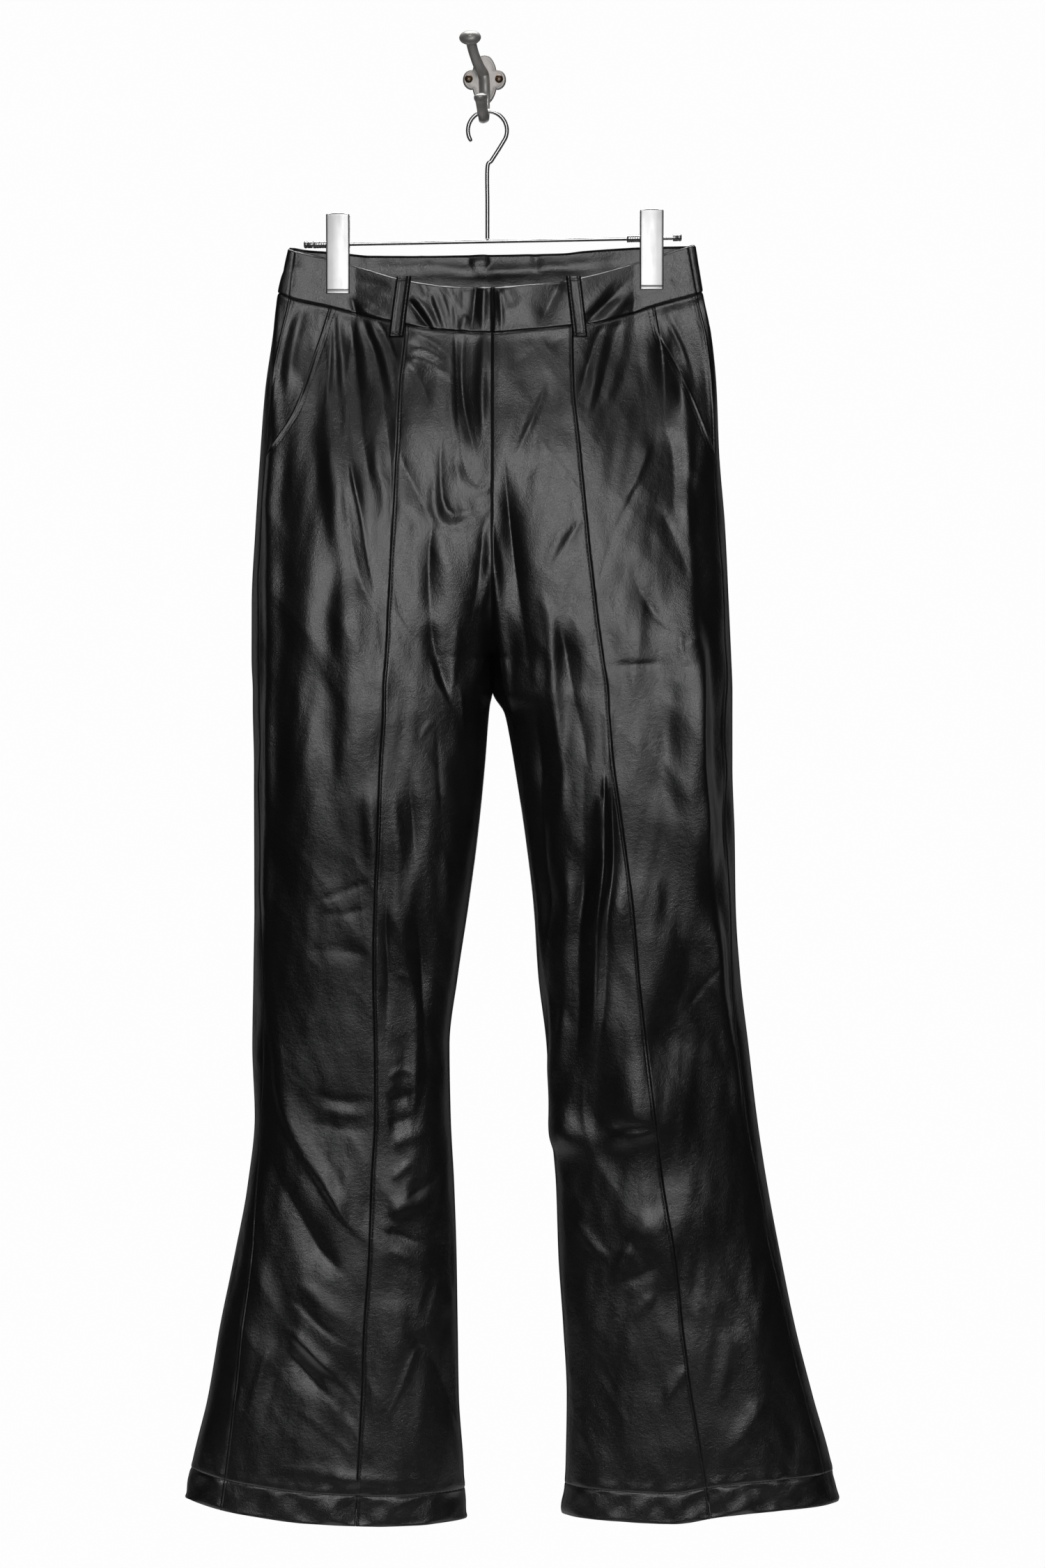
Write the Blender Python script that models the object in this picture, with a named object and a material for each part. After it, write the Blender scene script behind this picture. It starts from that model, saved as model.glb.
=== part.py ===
"""Flared faux leather trousers, held by a clip hanger on a wall hook.

Metres, +Z up. The wall is the plane y = 0 and the trousers hang in front of it, towards -Y.
The origin is the centre of the wall hook's flat back. The wearer's right leg is on the -X side.

A leg is a stack of closed level curves. Each level curve is a superellipse whose outer and inner
edges, depths and squareness are read from short tables, so one formula gives every point of the
cloth from a turn (the angle round the leg) and a height. Above the crotch the two legs' curves
reach past the middle plane and are cut there, which makes the centre seams and the crotch seam.
"""

import math

import bmesh
import bpy
import numpy as np

# Cloth sizes
WALL = 0.0012  # one layer of cloth
BAND_WALL = 0.0024  # folded waistband, and the turned-up hem
SEAM_GAP = 0.0003  # between two pieces at a seam
WAIST_GAP = 0.0005  # between the waistband's foot and the panels
LAYER_GAP = 0.0006  # between a piece and the panel that it lies on
HEM_DEPTH = 0.025
BAND_DEPTH = 0.0385
LOOP_WIDTH = 0.0125
LOOP_WALL = 0.0016
LOOP_LIFT = 0.0011  # a belt loop's ends over the band
LOOP_BOW = 0.0010  # how much further its middle stands off

# The shared middle plane, the bottom of the crotch seam and the hanging plane
MIDDLE_X = 0.0075
CROTCH_Z = -0.500
HANG_Y = -0.045

# Mesh steps
LEVEL_STEPS = 600
TURN_STEPS = 160
PANEL_ROWS = 33
FRONT_COLUMNS = 9
FACING_COLUMNS = 3
BACK_COLUMNS = 17
FLY_COLUMNS = 4
FLY_ROW_COUNT = 12
BAND_ROWS = np.array([0.0, 0.35, 0.7, 1.0])
WAIST_Z = -0.20  # the height at which a column's place under the waist is read
HEM_Z = -1.21
PANEL_DROP = 1.02  # from the waist seam to the hem
PANEL_CUTS = {  # shares of that drop where a long panel's next solid starts
    "centre": (0.195, 0.62),
    "side": (0.085, 0.195, 0.40, 0.62, 0.83),
    "back": (0.085, 0.195, 0.40, 0.62, 0.83),
}

RIGHT = -1
LEFT = 1
SIDE_NAMES = {RIGHT: "right", LEFT: "left"}

# Heights of a leg, with x of its inner edge, front panel seam, outseam and outer edge
LEVEL_NAMES = ("z", "inner", "panel_seam", "outseam", "outer")
LEVEL_ROWS = {
    RIGHT: (
        (-0.151, 0.007, -0.064, -0.160, -0.165),
        (-0.193, 0.007, -0.065, -0.165, -0.175),
        (-0.228, 0.007, -0.067, -0.173, -0.179),
        (-0.272, 0.007, -0.071, -0.180, -0.185),
        (-0.325, 0.007, -0.073, -0.185, -0.189),
        (-0.390, 0.007, -0.076, -0.189, -0.193),
        (-0.455, 0.007, -0.079, -0.191, -0.196),
        (-0.500, 0.007, -0.081, -0.190, -0.196),
        (-0.534, 0.0055, -0.083, -0.190, -0.195),
        (-0.591, 0.001, -0.086, -0.190, -0.194),
        (-0.650, -0.005, -0.088, -0.190, -0.194),
        (-0.709, -0.013, -0.091, -0.189, -0.194),
        (-0.768, -0.022, -0.092, -0.187, -0.195),
        (-0.827, -0.029, -0.091, -0.187, -0.196),
        (-0.886, -0.028, -0.091, -0.189, -0.194),
        (-0.945, -0.025, -0.094, -0.193, -0.200),
        (-1.004, -0.023, -0.096, -0.197, -0.211),
        (-1.063, -0.022, -0.100, -0.204, -0.223),
        (-1.122, -0.021, -0.102, -0.210, -0.233),
        (-1.181, -0.017, -0.105, -0.217, -0.247),
        (-1.234, -0.015, -0.107, -0.224, -0.255),
    ),
    LEFT: (
        (-0.151, 0.008, 0.076, 0.173, 0.179),
        (-0.193, 0.008, 0.075, 0.181, 0.186),
        (-0.228, 0.008, 0.075, 0.189, 0.193),
        (-0.272, 0.008, 0.076, 0.194, 0.197),
        (-0.325, 0.008, 0.081, 0.196, 0.199),
        (-0.390, 0.008, 0.087, 0.200, 0.204),
        (-0.455, 0.008, 0.094, 0.203, 0.207),
        (-0.500, 0.008, 0.100, 0.205, 0.209),
        (-0.534, 0.010, 0.104, 0.206, 0.210),
        (-0.549, 0.016, 0.105, 0.206, 0.210),
        (-0.591, 0.026, 0.109, 0.207, 0.210),
        (-0.650, 0.035, 0.117, 0.208, 0.212),
        (-0.709, 0.042, 0.125, 0.209, 0.213),
        (-0.768, 0.046, 0.130, 0.211, 0.217),
        (-0.827, 0.053, 0.137, 0.216, 0.224),
        (-0.886, 0.056, 0.144, 0.223, 0.231),
        (-0.945, 0.061, 0.151, 0.234, 0.240),
        (-1.004, 0.063, 0.161, 0.245, 0.251),
        (-1.063, 0.067, 0.167, 0.258, 0.263),
        (-1.122, 0.070, 0.175, 0.272, 0.278),
        (-1.181, 0.069, 0.185, 0.287, 0.294),
        (-1.234, 0.066, 0.192, 0.298, 0.302),
    ),
}

# Depth of the cloth at each height: the level curve's middle, its reach to the front and to the
# back, and its squareness (2 is an ellipse)
DEPTH_NAMES = ("z", "middle_y", "front", "back", "squareness")
DEPTH_ROWS = (
    (-0.150, -0.045, 0.013, 0.009, 2.6),
    (-0.215, -0.045, 0.016, 0.012, 2.6),
    (-0.260, -0.047, 0.024, 0.021, 2.5),
    (-0.330, -0.049, 0.036, 0.034, 2.4),
    (-0.400, -0.051, 0.041, 0.040, 2.4),
    (-0.500, -0.053, 0.044, 0.043, 2.4),
    (-0.600, -0.053, 0.044, 0.043, 2.3),
    (-0.700, -0.050, 0.038, 0.037, 2.3),
    (-0.800, -0.047, 0.030, 0.030, 2.3),
    (-0.900, -0.046, 0.027, 0.027, 2.3),
    (-1.000, -0.048, 0.029, 0.029, 2.3),
    (-1.100, -0.050, 0.032, 0.032, 2.4),
    (-1.235, -0.051, 0.034, 0.034, 2.4),
)

# How far a leg's level curve reaches past the middle plane, as a share of its outer reach
PAST_NAMES = ("z", "share")
PAST_ROWS = (
    (-0.150, 1.00),
    (-0.240, 1.00),
    (-0.300, 0.80),
    (-0.360, 0.50),
    (-0.420, 0.25),
    (-0.460, 0.10),
    (-0.485, 0.03),
    (CROTCH_Z, 0.00),
)

# Waist: the seam under the band and the band's top edge, which hangs lower at the front
WAIST_NAMES = ("x", "seam", "front_top", "back_top")
WAIST_ROWS = (
    (-0.175, -0.1910, -0.1512, -0.1512),
    (-0.163, -0.1955, -0.1550, -0.1530),
    (-0.135, -0.2014, -0.1610, -0.1550),
    (-0.105, -0.2085, -0.1690, -0.1575),
    (-0.074, -0.2160, -0.1784, -0.1572),
    (-0.050, -0.2212, -0.1830, -0.1570),
    (-0.024, -0.2240, -0.1858, -0.1565),
    (0.005, -0.2254, -0.1862, -0.1561),
    (0.036, -0.2230, -0.1840, -0.1556),
    (0.070, -0.2196, -0.1806, -0.1549),
    (0.088, -0.2175, -0.1770, -0.1530),
    (0.118, -0.2100, -0.1690, -0.1515),
    (0.145, -0.2013, -0.1610, -0.1505),
    (0.186, -0.1910, -0.1495, -0.1495),
)

# Hem edge: share of the way from a leg's inner edge to its outer edge, and height
HEM_NAMES = ("share", "z")
HEM_ROWS = {
    RIGHT: ((0.0, -1.2245), (0.25, -1.2265), (0.55, -1.2235), (0.80, -1.2165), (1.0, -1.2075)),
    LEFT: ((0.0, -1.2205), (0.20, -1.2225), (0.38, -1.2240), (0.60, -1.2170), (1.0, -1.2103)),
}

# Slanted pocket mouths and the curved fly stitch line
LINE_NAMES = ("z", "x")
POCKET_ROWS = {
    RIGHT: ((-0.200, -0.1305), (-0.2425, -0.1436), (-0.289, -0.1593), (-0.333, -0.1860)),
    LEFT: (
        (-0.200, 0.1445),
        (-0.224, 0.1496),
        (-0.2536, 0.1647),
        (-0.289, 0.1810),
        (-0.335, 0.1980),
    ),
}
POCKET_END_Z = -0.329
POCKET_END_ROWS = (0.1230, 0.1280)  # the panels' rows just above and below that end
FLY_INSET = 0.002  # the fly facing stops short of the panel's edge
FLY_ROWS = (
    (-0.220, -0.0249),
    (-0.2734, -0.0226),
    (-0.3205, -0.0202),
    (-0.3452, -0.0141),
    (-0.3577, -0.0034),
)

# Clips: x of the middle at the grip, the plate's top and bottom heights
CLIP_NAMES = ("x", "top", "bottom")
CLIP_ROWS = ((-0.1235, -0.1220, -0.1905), (0.1420, -0.1185, -0.1870))
CLIP_WIDTH = 0.020
CLIP_WALL = 0.0012
CLIP_CORNER = 0.007  # radius of a plate's two top corners
CLIP_CURL = 0.0009  # how far its lip turns out
BEND_NAMES = ("down", "half_gap")  # a plate's bend: distance below its top, and half gap inside
BEND_ROWS = ((0.0, 0.0062), (0.010, 0.0052), (0.0245, 0.0042), (0.045, 0.0037), (0.0685, 0.0034))
SLEEVE_REACH = 0.021  # from a clip's middle to its sleeve's right end
SLEEVE_LENGTH = 0.029
SLEEVE_RADIUS = 0.0032
GRIP_HALF = BAND_WALL + 0.0003  # half the thickness of the gripped waist
GRIP_FLAT = 0.0150  # half width of the flat under a clip
GRIP_SPREAD = ((-0.150, 0.020), (-0.215, 0.024), (-0.345, 0.050), (-0.430, 0.060))
GRIP_FADE = (
    (-0.150, 1.0),
    (-0.205, 1.0),
    (-0.250, 0.64),
    (-0.300, 0.28),
    (-0.345, 0.08),
    (-0.385, 0.01),
    (-0.430, 0.0),
)

# Largest folds of the front: each runs from (x1, z1) through (x2, z2) to (x3, z3)
FOLD_NAMES = ("x1", "z1", "x2", "z2", "x3", "z3", "width", "height")
FRONT_FOLD_ROWS = (
    (-0.121, -0.225, -0.118, -0.289, -0.098, -0.392, 0.010, 0.0035),
    (-0.106, -0.225, -0.095, -0.280, -0.081, -0.392, 0.009, 0.0025),
    (-0.169, -0.360, -0.171, -0.520, -0.168, -0.672, 0.010, 0.0035),
    (-0.144, -0.290, -0.148, -0.475, -0.139, -0.678, 0.015, -0.0065),
    (-0.117, -0.340, -0.119, -0.440, -0.116, -0.540, 0.010, 0.0030),
    (-0.044, -0.418, -0.042, -0.492, -0.029, -0.536, 0.010, -0.0035),
    (-0.074, -0.441, -0.060, -0.466, -0.046, -0.486, 0.009, 0.0030),
    (-0.138, -0.742, -0.116, -0.749, -0.093, -0.760, 0.012, 0.0035),
    (-0.172, -0.814, -0.153, -0.908, -0.110, -0.977, 0.013, 0.0055),
    (-0.177, -0.846, -0.160, -0.928, -0.121, -0.992, 0.012, -0.0045),
    (-0.167, -1.030, -0.142, -1.053, -0.114, -1.078, 0.011, -0.0040),
    (-0.172, -1.060, -0.141, -1.100, -0.105, -1.132, 0.011, -0.0035),
    (-0.182, -1.086, -0.188, -1.114, -0.196, -1.146, 0.010, 0.0030),
    (-0.059, -1.070, -0.069, -1.103, -0.080, -1.138, 0.010, 0.0030),
    (0.145, -0.230, 0.128, -0.265, 0.122, -0.323, 0.010, 0.0035),
    (0.142, -0.315, 0.123, -0.352, 0.104, -0.393, 0.009, 0.0030),
    (0.125, -0.366, 0.111, -0.399, 0.094, -0.436, 0.010, -0.0030),
    (0.019, -0.374, 0.045, -0.456, 0.074, -0.589, 0.012, -0.0045),
    (0.100, -0.591, 0.102, -0.640, 0.089, -0.798, 0.010, 0.0045),
    (0.113, -0.600, 0.114, -0.650, 0.104, -0.798, 0.010, -0.0035),
    (0.065, -0.568, 0.069, -0.678, 0.069, -0.798, 0.009, 0.0035),
    (0.183, -0.505, 0.189, -0.646, 0.206, -0.798, 0.009, 0.0040),
    (0.197, -0.533, 0.202, -0.650, 0.213, -0.789, 0.010, -0.0040),
    (0.105, -0.506, 0.130, -0.503, 0.157, -0.506, 0.011, 0.0030),
    (0.097, -0.886, 0.120, -0.882, 0.143, -0.886, 0.011, 0.0030),
    (0.088, -0.963, 0.092, -0.992, 0.098, -1.021, 0.014, 0.0035),
    (0.178, -0.893, 0.201, -0.998, 0.225, -1.138, 0.018, -0.0055),
    (0.171, -1.045, 0.174, -1.085, 0.177, -1.126, 0.010, 0.0030),
)
# Folds of the back, which the hanger and the bent knees give it too
BACK_FOLD_ROWS = (
    (-0.122, -0.215, -0.112, -0.290, -0.085, -0.400, 0.011, 0.0035),
    (-0.134, -0.215, -0.150, -0.300, -0.160, -0.420, 0.010, 0.0030),
    (0.140, -0.215, 0.126, -0.290, 0.095, -0.400, 0.011, 0.0035),
    (0.152, -0.215, 0.170, -0.300, 0.178, -0.420, 0.010, 0.0030),
    (-0.030, -0.440, -0.080, -0.480, -0.150, -0.560, 0.014, -0.0045),
    (0.040, -0.440, 0.092, -0.485, 0.160, -0.570, 0.014, -0.0045),
    (-0.160, -0.740, -0.110, -0.765, -0.060, -0.750, 0.013, 0.0045),
    (0.078, -0.735, 0.130, -0.762, 0.190, -0.748, 0.013, 0.0045),
    (-0.150, -0.800, -0.108, -0.830, -0.050, -0.812, 0.012, -0.0040),
    (0.085, -0.802, 0.140, -0.835, 0.200, -0.815, 0.012, -0.0040),
    (-0.160, -0.900, -0.140, -1.000, -0.120, -1.120, 0.014, 0.0040),
    (0.200, -0.900, 0.190, -1.010, 0.182, -1.130, 0.014, 0.0040),
)
FOLD_STEPS = 12
FOLD_START_Z = -0.224  # folds start under the waist seam

# Hanger and wall hook
WIRE = 0.00175  # wire radius
BAR_ENDS = ((-0.1500, -0.1490), (0.1650, -0.1430))  # x and z of the bar's two ends
STEM_X = 0.003
HOOK_RADIUS = 0.0165
PLATE_WALL = 0.003
PLATE_REACH = (0.0185, 0.0215)
PLATE_EDGE = 0.0008
SCREW_X = (-0.0135, 0.0125)
SCREW_Z = 0.0005
SADDLE_GAP = 0.0008  # the wire lies on the bend's two slopes, just above its lowest place

# The casting's axis from the upper prong's ball, over the plate, to the lower prong's ball
PRONG_NAMES = ("x", "y", "z", "radius")
PRONG_ROWS = (
    (-0.0120, -0.0560, 0.0265, 0.0012),
    (-0.0119, -0.0545, 0.0262, 0.0040),
    (-0.0117, -0.0520, 0.0255, 0.0062),
    (-0.0114, -0.0490, 0.0247, 0.0060),
    (-0.0111, -0.0465, 0.0238, 0.0034),
    (-0.0090, -0.0330, 0.0170, 0.0030),
    (-0.0050, -0.0180, 0.0090, 0.0032),
    (-0.0010, -0.0066, 0.0040, 0.0033),
    (0.0, -0.0066, -0.0060, 0.0033),
    (0.0, -0.0085, -0.0170, 0.0033),
    (0.0, -0.0180, -0.0310, 0.0033),
    (0.0, -0.0300, -0.0395, 0.0032),
    (0.0, HANG_Y, -0.0415, 0.0032),
    (-0.0010, -0.0560, -0.0375, 0.0032),
    (-0.0020, -0.0620, -0.0310, 0.0034),
    (-0.0024, -0.0636, -0.0285, 0.0040),
    (-0.0026, -0.0644, -0.0262, 0.0036),
    (-0.0027, -0.0648, -0.0248, 0.0012),
)

# Finishes: colour, roughness and metallic value
CLOTH = ((0.012, 0.012, 0.014), 0.36, 0.0)
STEEL = ((0.62, 0.62, 0.61), 0.28, 1.0)
CAST = ((0.30, 0.30, 0.29), 0.45, 1.0)
BRONZE = ((0.24, 0.16, 0.11), 0.40, 1.0)


def columns(names, rows):
    """A table as one array for each named column."""
    return dict(zip(names, np.array(rows, dtype=float).T))


LEVELS = {side: columns(LEVEL_NAMES, rows) for side, rows in LEVEL_ROWS.items()}
HEMS = {side: columns(HEM_NAMES, rows) for side, rows in HEM_ROWS.items()}
POCKETS = {side: columns(LINE_NAMES, rows) for side, rows in POCKET_ROWS.items()}
FLY = columns(LINE_NAMES, FLY_ROWS)
DEPTHS = columns(DEPTH_NAMES, DEPTH_ROWS)
PAST = columns(PAST_NAMES, PAST_ROWS)
WAIST = columns(WAIST_NAMES, WAIST_ROWS)
CLIPS = columns(CLIP_NAMES, CLIP_ROWS)
BENDS = columns(BEND_NAMES, BEND_ROWS)
PRONGS = columns(PRONG_NAMES, PRONG_ROWS)


def smooth(at, knots, values):
    """Cubic through the knots that never overshoots them."""
    order = np.argsort(knots)
    knots = np.asarray(knots, dtype=float)[order]
    values = np.asarray(values, dtype=float)[order]
    step = np.diff(knots)
    rise = np.diff(values) / step
    slope = np.zeros_like(values)
    both = rise[1:] * rise[:-1]
    total = np.where(both > 0, rise[1:] + rise[:-1], 1.0)
    slope[1:-1] = np.where(both > 0, 2 * both / total, 0.0)
    slope[0] = rise[0]
    slope[-1] = rise[-1]
    at = np.clip(at, knots[0], knots[-1])
    i = np.clip(np.searchsorted(knots, at) - 1, 0, len(step) - 1)
    t = (at - knots[i]) / step[i]
    start = values[i] * (1 + 2 * t) * (1 - t) ** 2 + slope[i] * step[i] * t * (1 - t) ** 2
    end = values[i + 1] * t * t * (3 - 2 * t) + slope[i + 1] * step[i] * t * t * (t - 1)
    return start + end


def ramp(value):
    """0 below 0, 1 above 1, and smooth between."""
    value = np.clip(value, 0.0, 1.0)
    return value * value * (3 - 2 * value)


def power(value, exponent):
    """A power that keeps the sign."""
    return np.sign(value) * np.abs(value) ** exponent


def reach(side, z):
    """A level curve's centre and half width, counted outwards from the middle plane."""
    level = LEVELS[side]
    outer = side * (smooth(z, level["z"], level["outer"]) - MIDDLE_X)
    inner = side * (smooth(z, level["z"], level["inner"]) - MIDDLE_X)
    past = smooth(z, PAST["z"], PAST["share"])
    inner = np.where(z > CROTCH_Z, SEAM_GAP - past * outer, np.maximum(inner, SEAM_GAP))
    return (outer + inner) / 2, (outer - inner) / 2


def turn_at(side, x, z):
    """The turn at which a leg's front passes x: 0 at the outer edge, pi at the inner edge."""
    centre, half = reach(side, z)
    share = np.clip((side * (x - MIDDLE_X) - centre) / half, -1.0, 1.0)
    squareness = smooth(z, DEPTHS["z"], DEPTHS["squareness"])
    return np.arccos(power(share, squareness / 2))


def seam_turn(side, z, column):
    """The turn of a seam whose x is a column of the level table."""
    level = LEVELS[side]
    return turn_at(side, smooth(z, level["z"], level[column]), z)


def middle_turn(side, z):
    """The turn of the centre-front seam, and under the crotch of the inseam."""
    above = turn_at(side, MIDDLE_X + side * SEAM_GAP / 2, z)
    return np.where(z > CROTCH_Z, above, math.pi)


def mouth_turn(side, z):
    """The turn of the pocket mouth, and of the outseam below it."""
    pocket = POCKETS[side]
    slant = turn_at(side, smooth(z, pocket["z"], pocket["x"]), z)
    outseam = seam_turn(side, z, "outseam")
    return np.where(z > POCKET_END_Z, np.maximum(slant, outseam), outseam)


def grip(x, z):
    """1 where a clip presses front and back together, fading down and to the sides."""
    spread = smooth(z, *np.array(GRIP_SPREAD).T)
    fade = smooth(z, *np.array(GRIP_FADE).T)
    flat = GRIP_FLAT * fade
    total = np.zeros_like(x)
    for clip_x in CLIPS["x"]:
        total = total + 1 - ramp((np.abs(x - clip_x) - flat) / spread)
    return total * fade


def fold_height(x, z, table):
    """Sum of soft ridges and troughs, each a bell across a bent line that fades at its ends."""
    total = np.zeros_like(x)
    t = np.linspace(0.0, 1.0, FOLD_STEPS + 1)
    for row in table:
        fold = dict(zip(FOLD_NAMES, row))
        bend_x = 2 * fold["x2"] - (fold["x1"] + fold["x3"]) / 2
        bend_z = 2 * fold["z2"] - (fold["z1"] + fold["z3"]) / 2
        path_x = fold["x1"] * (1 - t) ** 2 + 2 * bend_x * t * (1 - t) + fold["x3"] * t * t
        path_z = fold["z1"] * (1 - t) ** 2 + 2 * bend_z * t * (1 - t) + fold["z3"] * t * t
        nearest = np.full(x.shape, 1.0)
        along = np.zeros_like(x)
        for i in range(FOLD_STEPS):
            step_x = path_x[i + 1] - path_x[i]
            step_z = path_z[i + 1] - path_z[i]
            share = (x - path_x[i]) * step_x + (z - path_z[i]) * step_z
            share = np.clip(share / (step_x**2 + step_z**2), 0.0, 1.0)
            away = np.hypot(x - path_x[i] - share * step_x, z - path_z[i] - share * step_z)
            along = np.where(away < nearest, (i + share) / FOLD_STEPS, along)
            nearest = np.minimum(away, nearest)
        ends = ramp(along / 0.3) * ramp((1 - along) / 0.3)
        total = total + fold["height"] * ends * np.exp(-((nearest / fold["width"]) ** 2))
    return total * ramp((FOLD_START_Z - z) / 0.03)


def base_point(side, turn, z):
    """The cloth's outer surface before folds: a superellipse, flattened where a clip grips."""
    centre, half = reach(side, z)
    middle_y = smooth(z, DEPTHS["z"], DEPTHS["middle_y"])
    squareness = smooth(z, DEPTHS["z"], DEPTHS["squareness"])
    front = smooth(z, DEPTHS["z"], DEPTHS["front"])
    back = smooth(z, DEPTHS["z"], DEPTHS["back"])
    x = MIDDLE_X + side * (centre + half * power(np.cos(turn), 2 / squareness))
    swell = power(np.sin(turn), 2 / squareness)
    press = grip(x, z)
    depth = np.where(swell > 0, front, back) * swell * (1 - press)
    depth = depth + np.sign(swell) * GRIP_HALF * press
    return np.stack([x, middle_y - depth, z + 0 * x], axis=-1)


def cloth_point(side, turn, z):
    """The cloth's outer surface: the base moved out by its folds, level by level."""
    small = 0.002
    base = base_point(side, turn, z)
    along = base_point(side, turn + small, z) - base_point(side, turn - small, z)
    length = np.hypot(along[..., 0], along[..., 1]) + 1e-9
    out_x = -side * along[..., 1] / length
    out_y = side * along[..., 0] / length
    front = fold_height(base[..., 0], z + 0 * turn, FRONT_FOLD_ROWS)
    back = fold_height(base[..., 0], z + 0 * turn, BACK_FOLD_ROWS)
    height = np.where(np.sin(turn) > 0, front, back) * ramp(np.abs(np.sin(turn)) / 0.35)
    return base + np.stack([out_x * height, out_y * height, 0 * height], axis=-1)


def cloth_normal(side, turn, z):
    """Outward normal of the cloth, from small steps in turn and height."""
    small_turn = 0.004
    small_z = 0.002
    round_step = cloth_point(side, turn + small_turn, z) - cloth_point(side, turn - small_turn, z)
    down_step = cloth_point(side, turn, z - small_z) - cloth_point(side, turn, z + small_z)
    normal = np.cross(round_step, down_step) * side
    return normal / (np.linalg.norm(normal, axis=-1, keepdims=True) + 1e-12)


def panel_turns(side, stretches, gap=SEAM_GAP):
    """Turns of a piece's columns at every level, evenly spaced along the cloth of each stretch.

    A stretch gives the turns of its two seams at a height, its number of columns, and how much
    closer they stand at its ends, where the cloth turns round the leg's edge. Half a seam gap is
    left at each end, and stretches of one piece share the column between them.
    """
    z = np.linspace(-0.135, -1.240, LEVEL_STEPS)
    share = np.linspace(0.0, 1.0, TURN_STEPS)
    tables = []
    for start, end, count, crowd in stretches:
        even = np.linspace(0.0, 1.0, count + 1)
        place = even - crowd * np.sin(2 * math.pi * even) / (2 * math.pi)
        turns = start(z)[:, None] * (1 - share) + end(z)[:, None] * share
        points = base_point(side, turns, z[:, None] + 0 * turns)
        steps = np.linalg.norm(np.diff(points, axis=1), axis=2)
        length = np.concatenate([np.zeros((len(z), 1)), np.cumsum(steps, axis=1)], axis=1)
        table = np.empty((len(z), count + 1))
        for i in range(len(z)):
            last = max(length[i, -1] - gap / 2, gap)
            wanted = gap / 2 + (last - gap / 2) * place
            table[i] = np.interp(wanted, length[i], turns[i])
        if tables:
            shared = (tables[-1][:, -1:] + table[:, :1]) / 2
            tables[-1] = np.concatenate([tables[-1][:, :-1], shared], axis=1)
            table = table[:, 1:]
        tables.append(table)
    return z, np.concatenate(tables, axis=1)


def panel_grid(side, stretches, rows, top, bottom, gap=SEAM_GAP, bottom_z=HEM_Z):
    """Turn and height of each point of a panel, a row for each level.

    top and bottom give the edge's height for an x and a turn there, which are read at the waist
    and at bottom_z.
    """
    levels, table = panel_turns(side, stretches, gap)
    heights = levels[::-1]
    turn = np.empty((len(rows), table.shape[1]))
    z = np.empty_like(turn)
    for j in range(table.shape[1]):
        column = table[::-1, j]
        edge_turn = np.interp(WAIST_Z, heights, column)
        high = top(base_point(side, edge_turn, np.float64(WAIST_Z))[0], edge_turn)
        edge_turn = np.interp(bottom_z, heights, column)
        low = bottom(base_point(side, edge_turn, np.float64(bottom_z))[0], edge_turn)
        z[:, j] = high + (low - high) * rows
        turn[:, j] = np.interp(z[:, j], heights, column)
    return turn, z


def waist_seam(x, turn):
    """Height of the panels' top edge, which at the back hangs straighter than at the front."""
    front = smooth(x, WAIST["x"], WAIST["seam"])
    back = smooth(x, WAIST["x"], WAIST["back_top"]) - BAND_DEPTH
    share = ramp((0.30 - turn) / 0.60)
    return front * (1 - share) + back * share - WAIST_GAP


def band_top(x, turn):
    """Height of the band's top edge."""
    share = ramp((0.30 - turn) / 0.60)
    front = smooth(x, WAIST["x"], WAIST["front_top"])
    return front * (1 - share) + smooth(x, WAIST["x"], WAIST["back_top"]) * share


def band_foot(x, turn):
    """Height of the band's lower edge."""
    return waist_seam(x, turn) + WAIST_GAP


def hem_edge(side):
    """Height of the hem's edge at an x."""
    level = LEVELS[side]
    inner = np.interp(-HEM_Z, -level["z"], level["inner"])
    outer = np.interp(-HEM_Z, -level["z"], level["outer"])
    hem = HEMS[side]
    return lambda x, turn: smooth((x - inner) / (outer - inner), hem["share"], hem["z"])


def panel_rows(count):
    """Row places from 0 at the waist to 1 at the hem, closer together round the crotch."""
    place = np.linspace(0.0, 1.0, 400)
    crowd = 1 + 1.3 * np.exp(-(((place - 0.26) / 0.09) ** 2)) + 0.5 * np.exp(-((place / 0.06) ** 2))
    total = np.cumsum(crowd)
    total = (total - total[0]) / (total[-1] - total[0])
    rows = np.interp(np.linspace(0.0, 1.0, count), total, place)
    hem_fold = 1 - HEM_DEPTH / PANEL_DROP
    fixed = [*POCKET_END_ROWS, hem_fold - 0.002, hem_fold + 0.002, 1.0]
    spaced = [row for row in rows if min(abs(row - place) for place in fixed) > 0.008]
    return np.array(sorted(spaced + fixed))


def shell(name, outer, inner, finish):
    """A closed solid between two point grids of the same size."""
    rows, count = outer.shape[:2]
    points = np.concatenate([outer.reshape(-1, 3), inner.reshape(-1, 3)])
    near = np.arange(rows * count).reshape(rows, count)
    far = near + rows * count
    face = np.stack([near[:-1, :-1], near[:-1, 1:], near[1:, 1:], near[1:, :-1]], axis=-1)
    faces = [face.reshape(-1, 4), (face + rows * count)[..., ::-1].reshape(-1, 4)]
    for low, high in ((near[0], far[0]), (near[-1, ::-1], far[-1, ::-1])):
        faces.append(np.stack([low[1:], low[:-1], high[:-1], high[1:]], axis=-1))
    for low, high in ((near[::-1, 0], far[::-1, 0]), (near[:, -1], far[:, -1])):
        faces.append(np.stack([low[1:], low[:-1], high[:-1], high[1:]], axis=-1))
    return solid(name, points, np.concatenate(faces).tolist(), finish)


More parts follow.
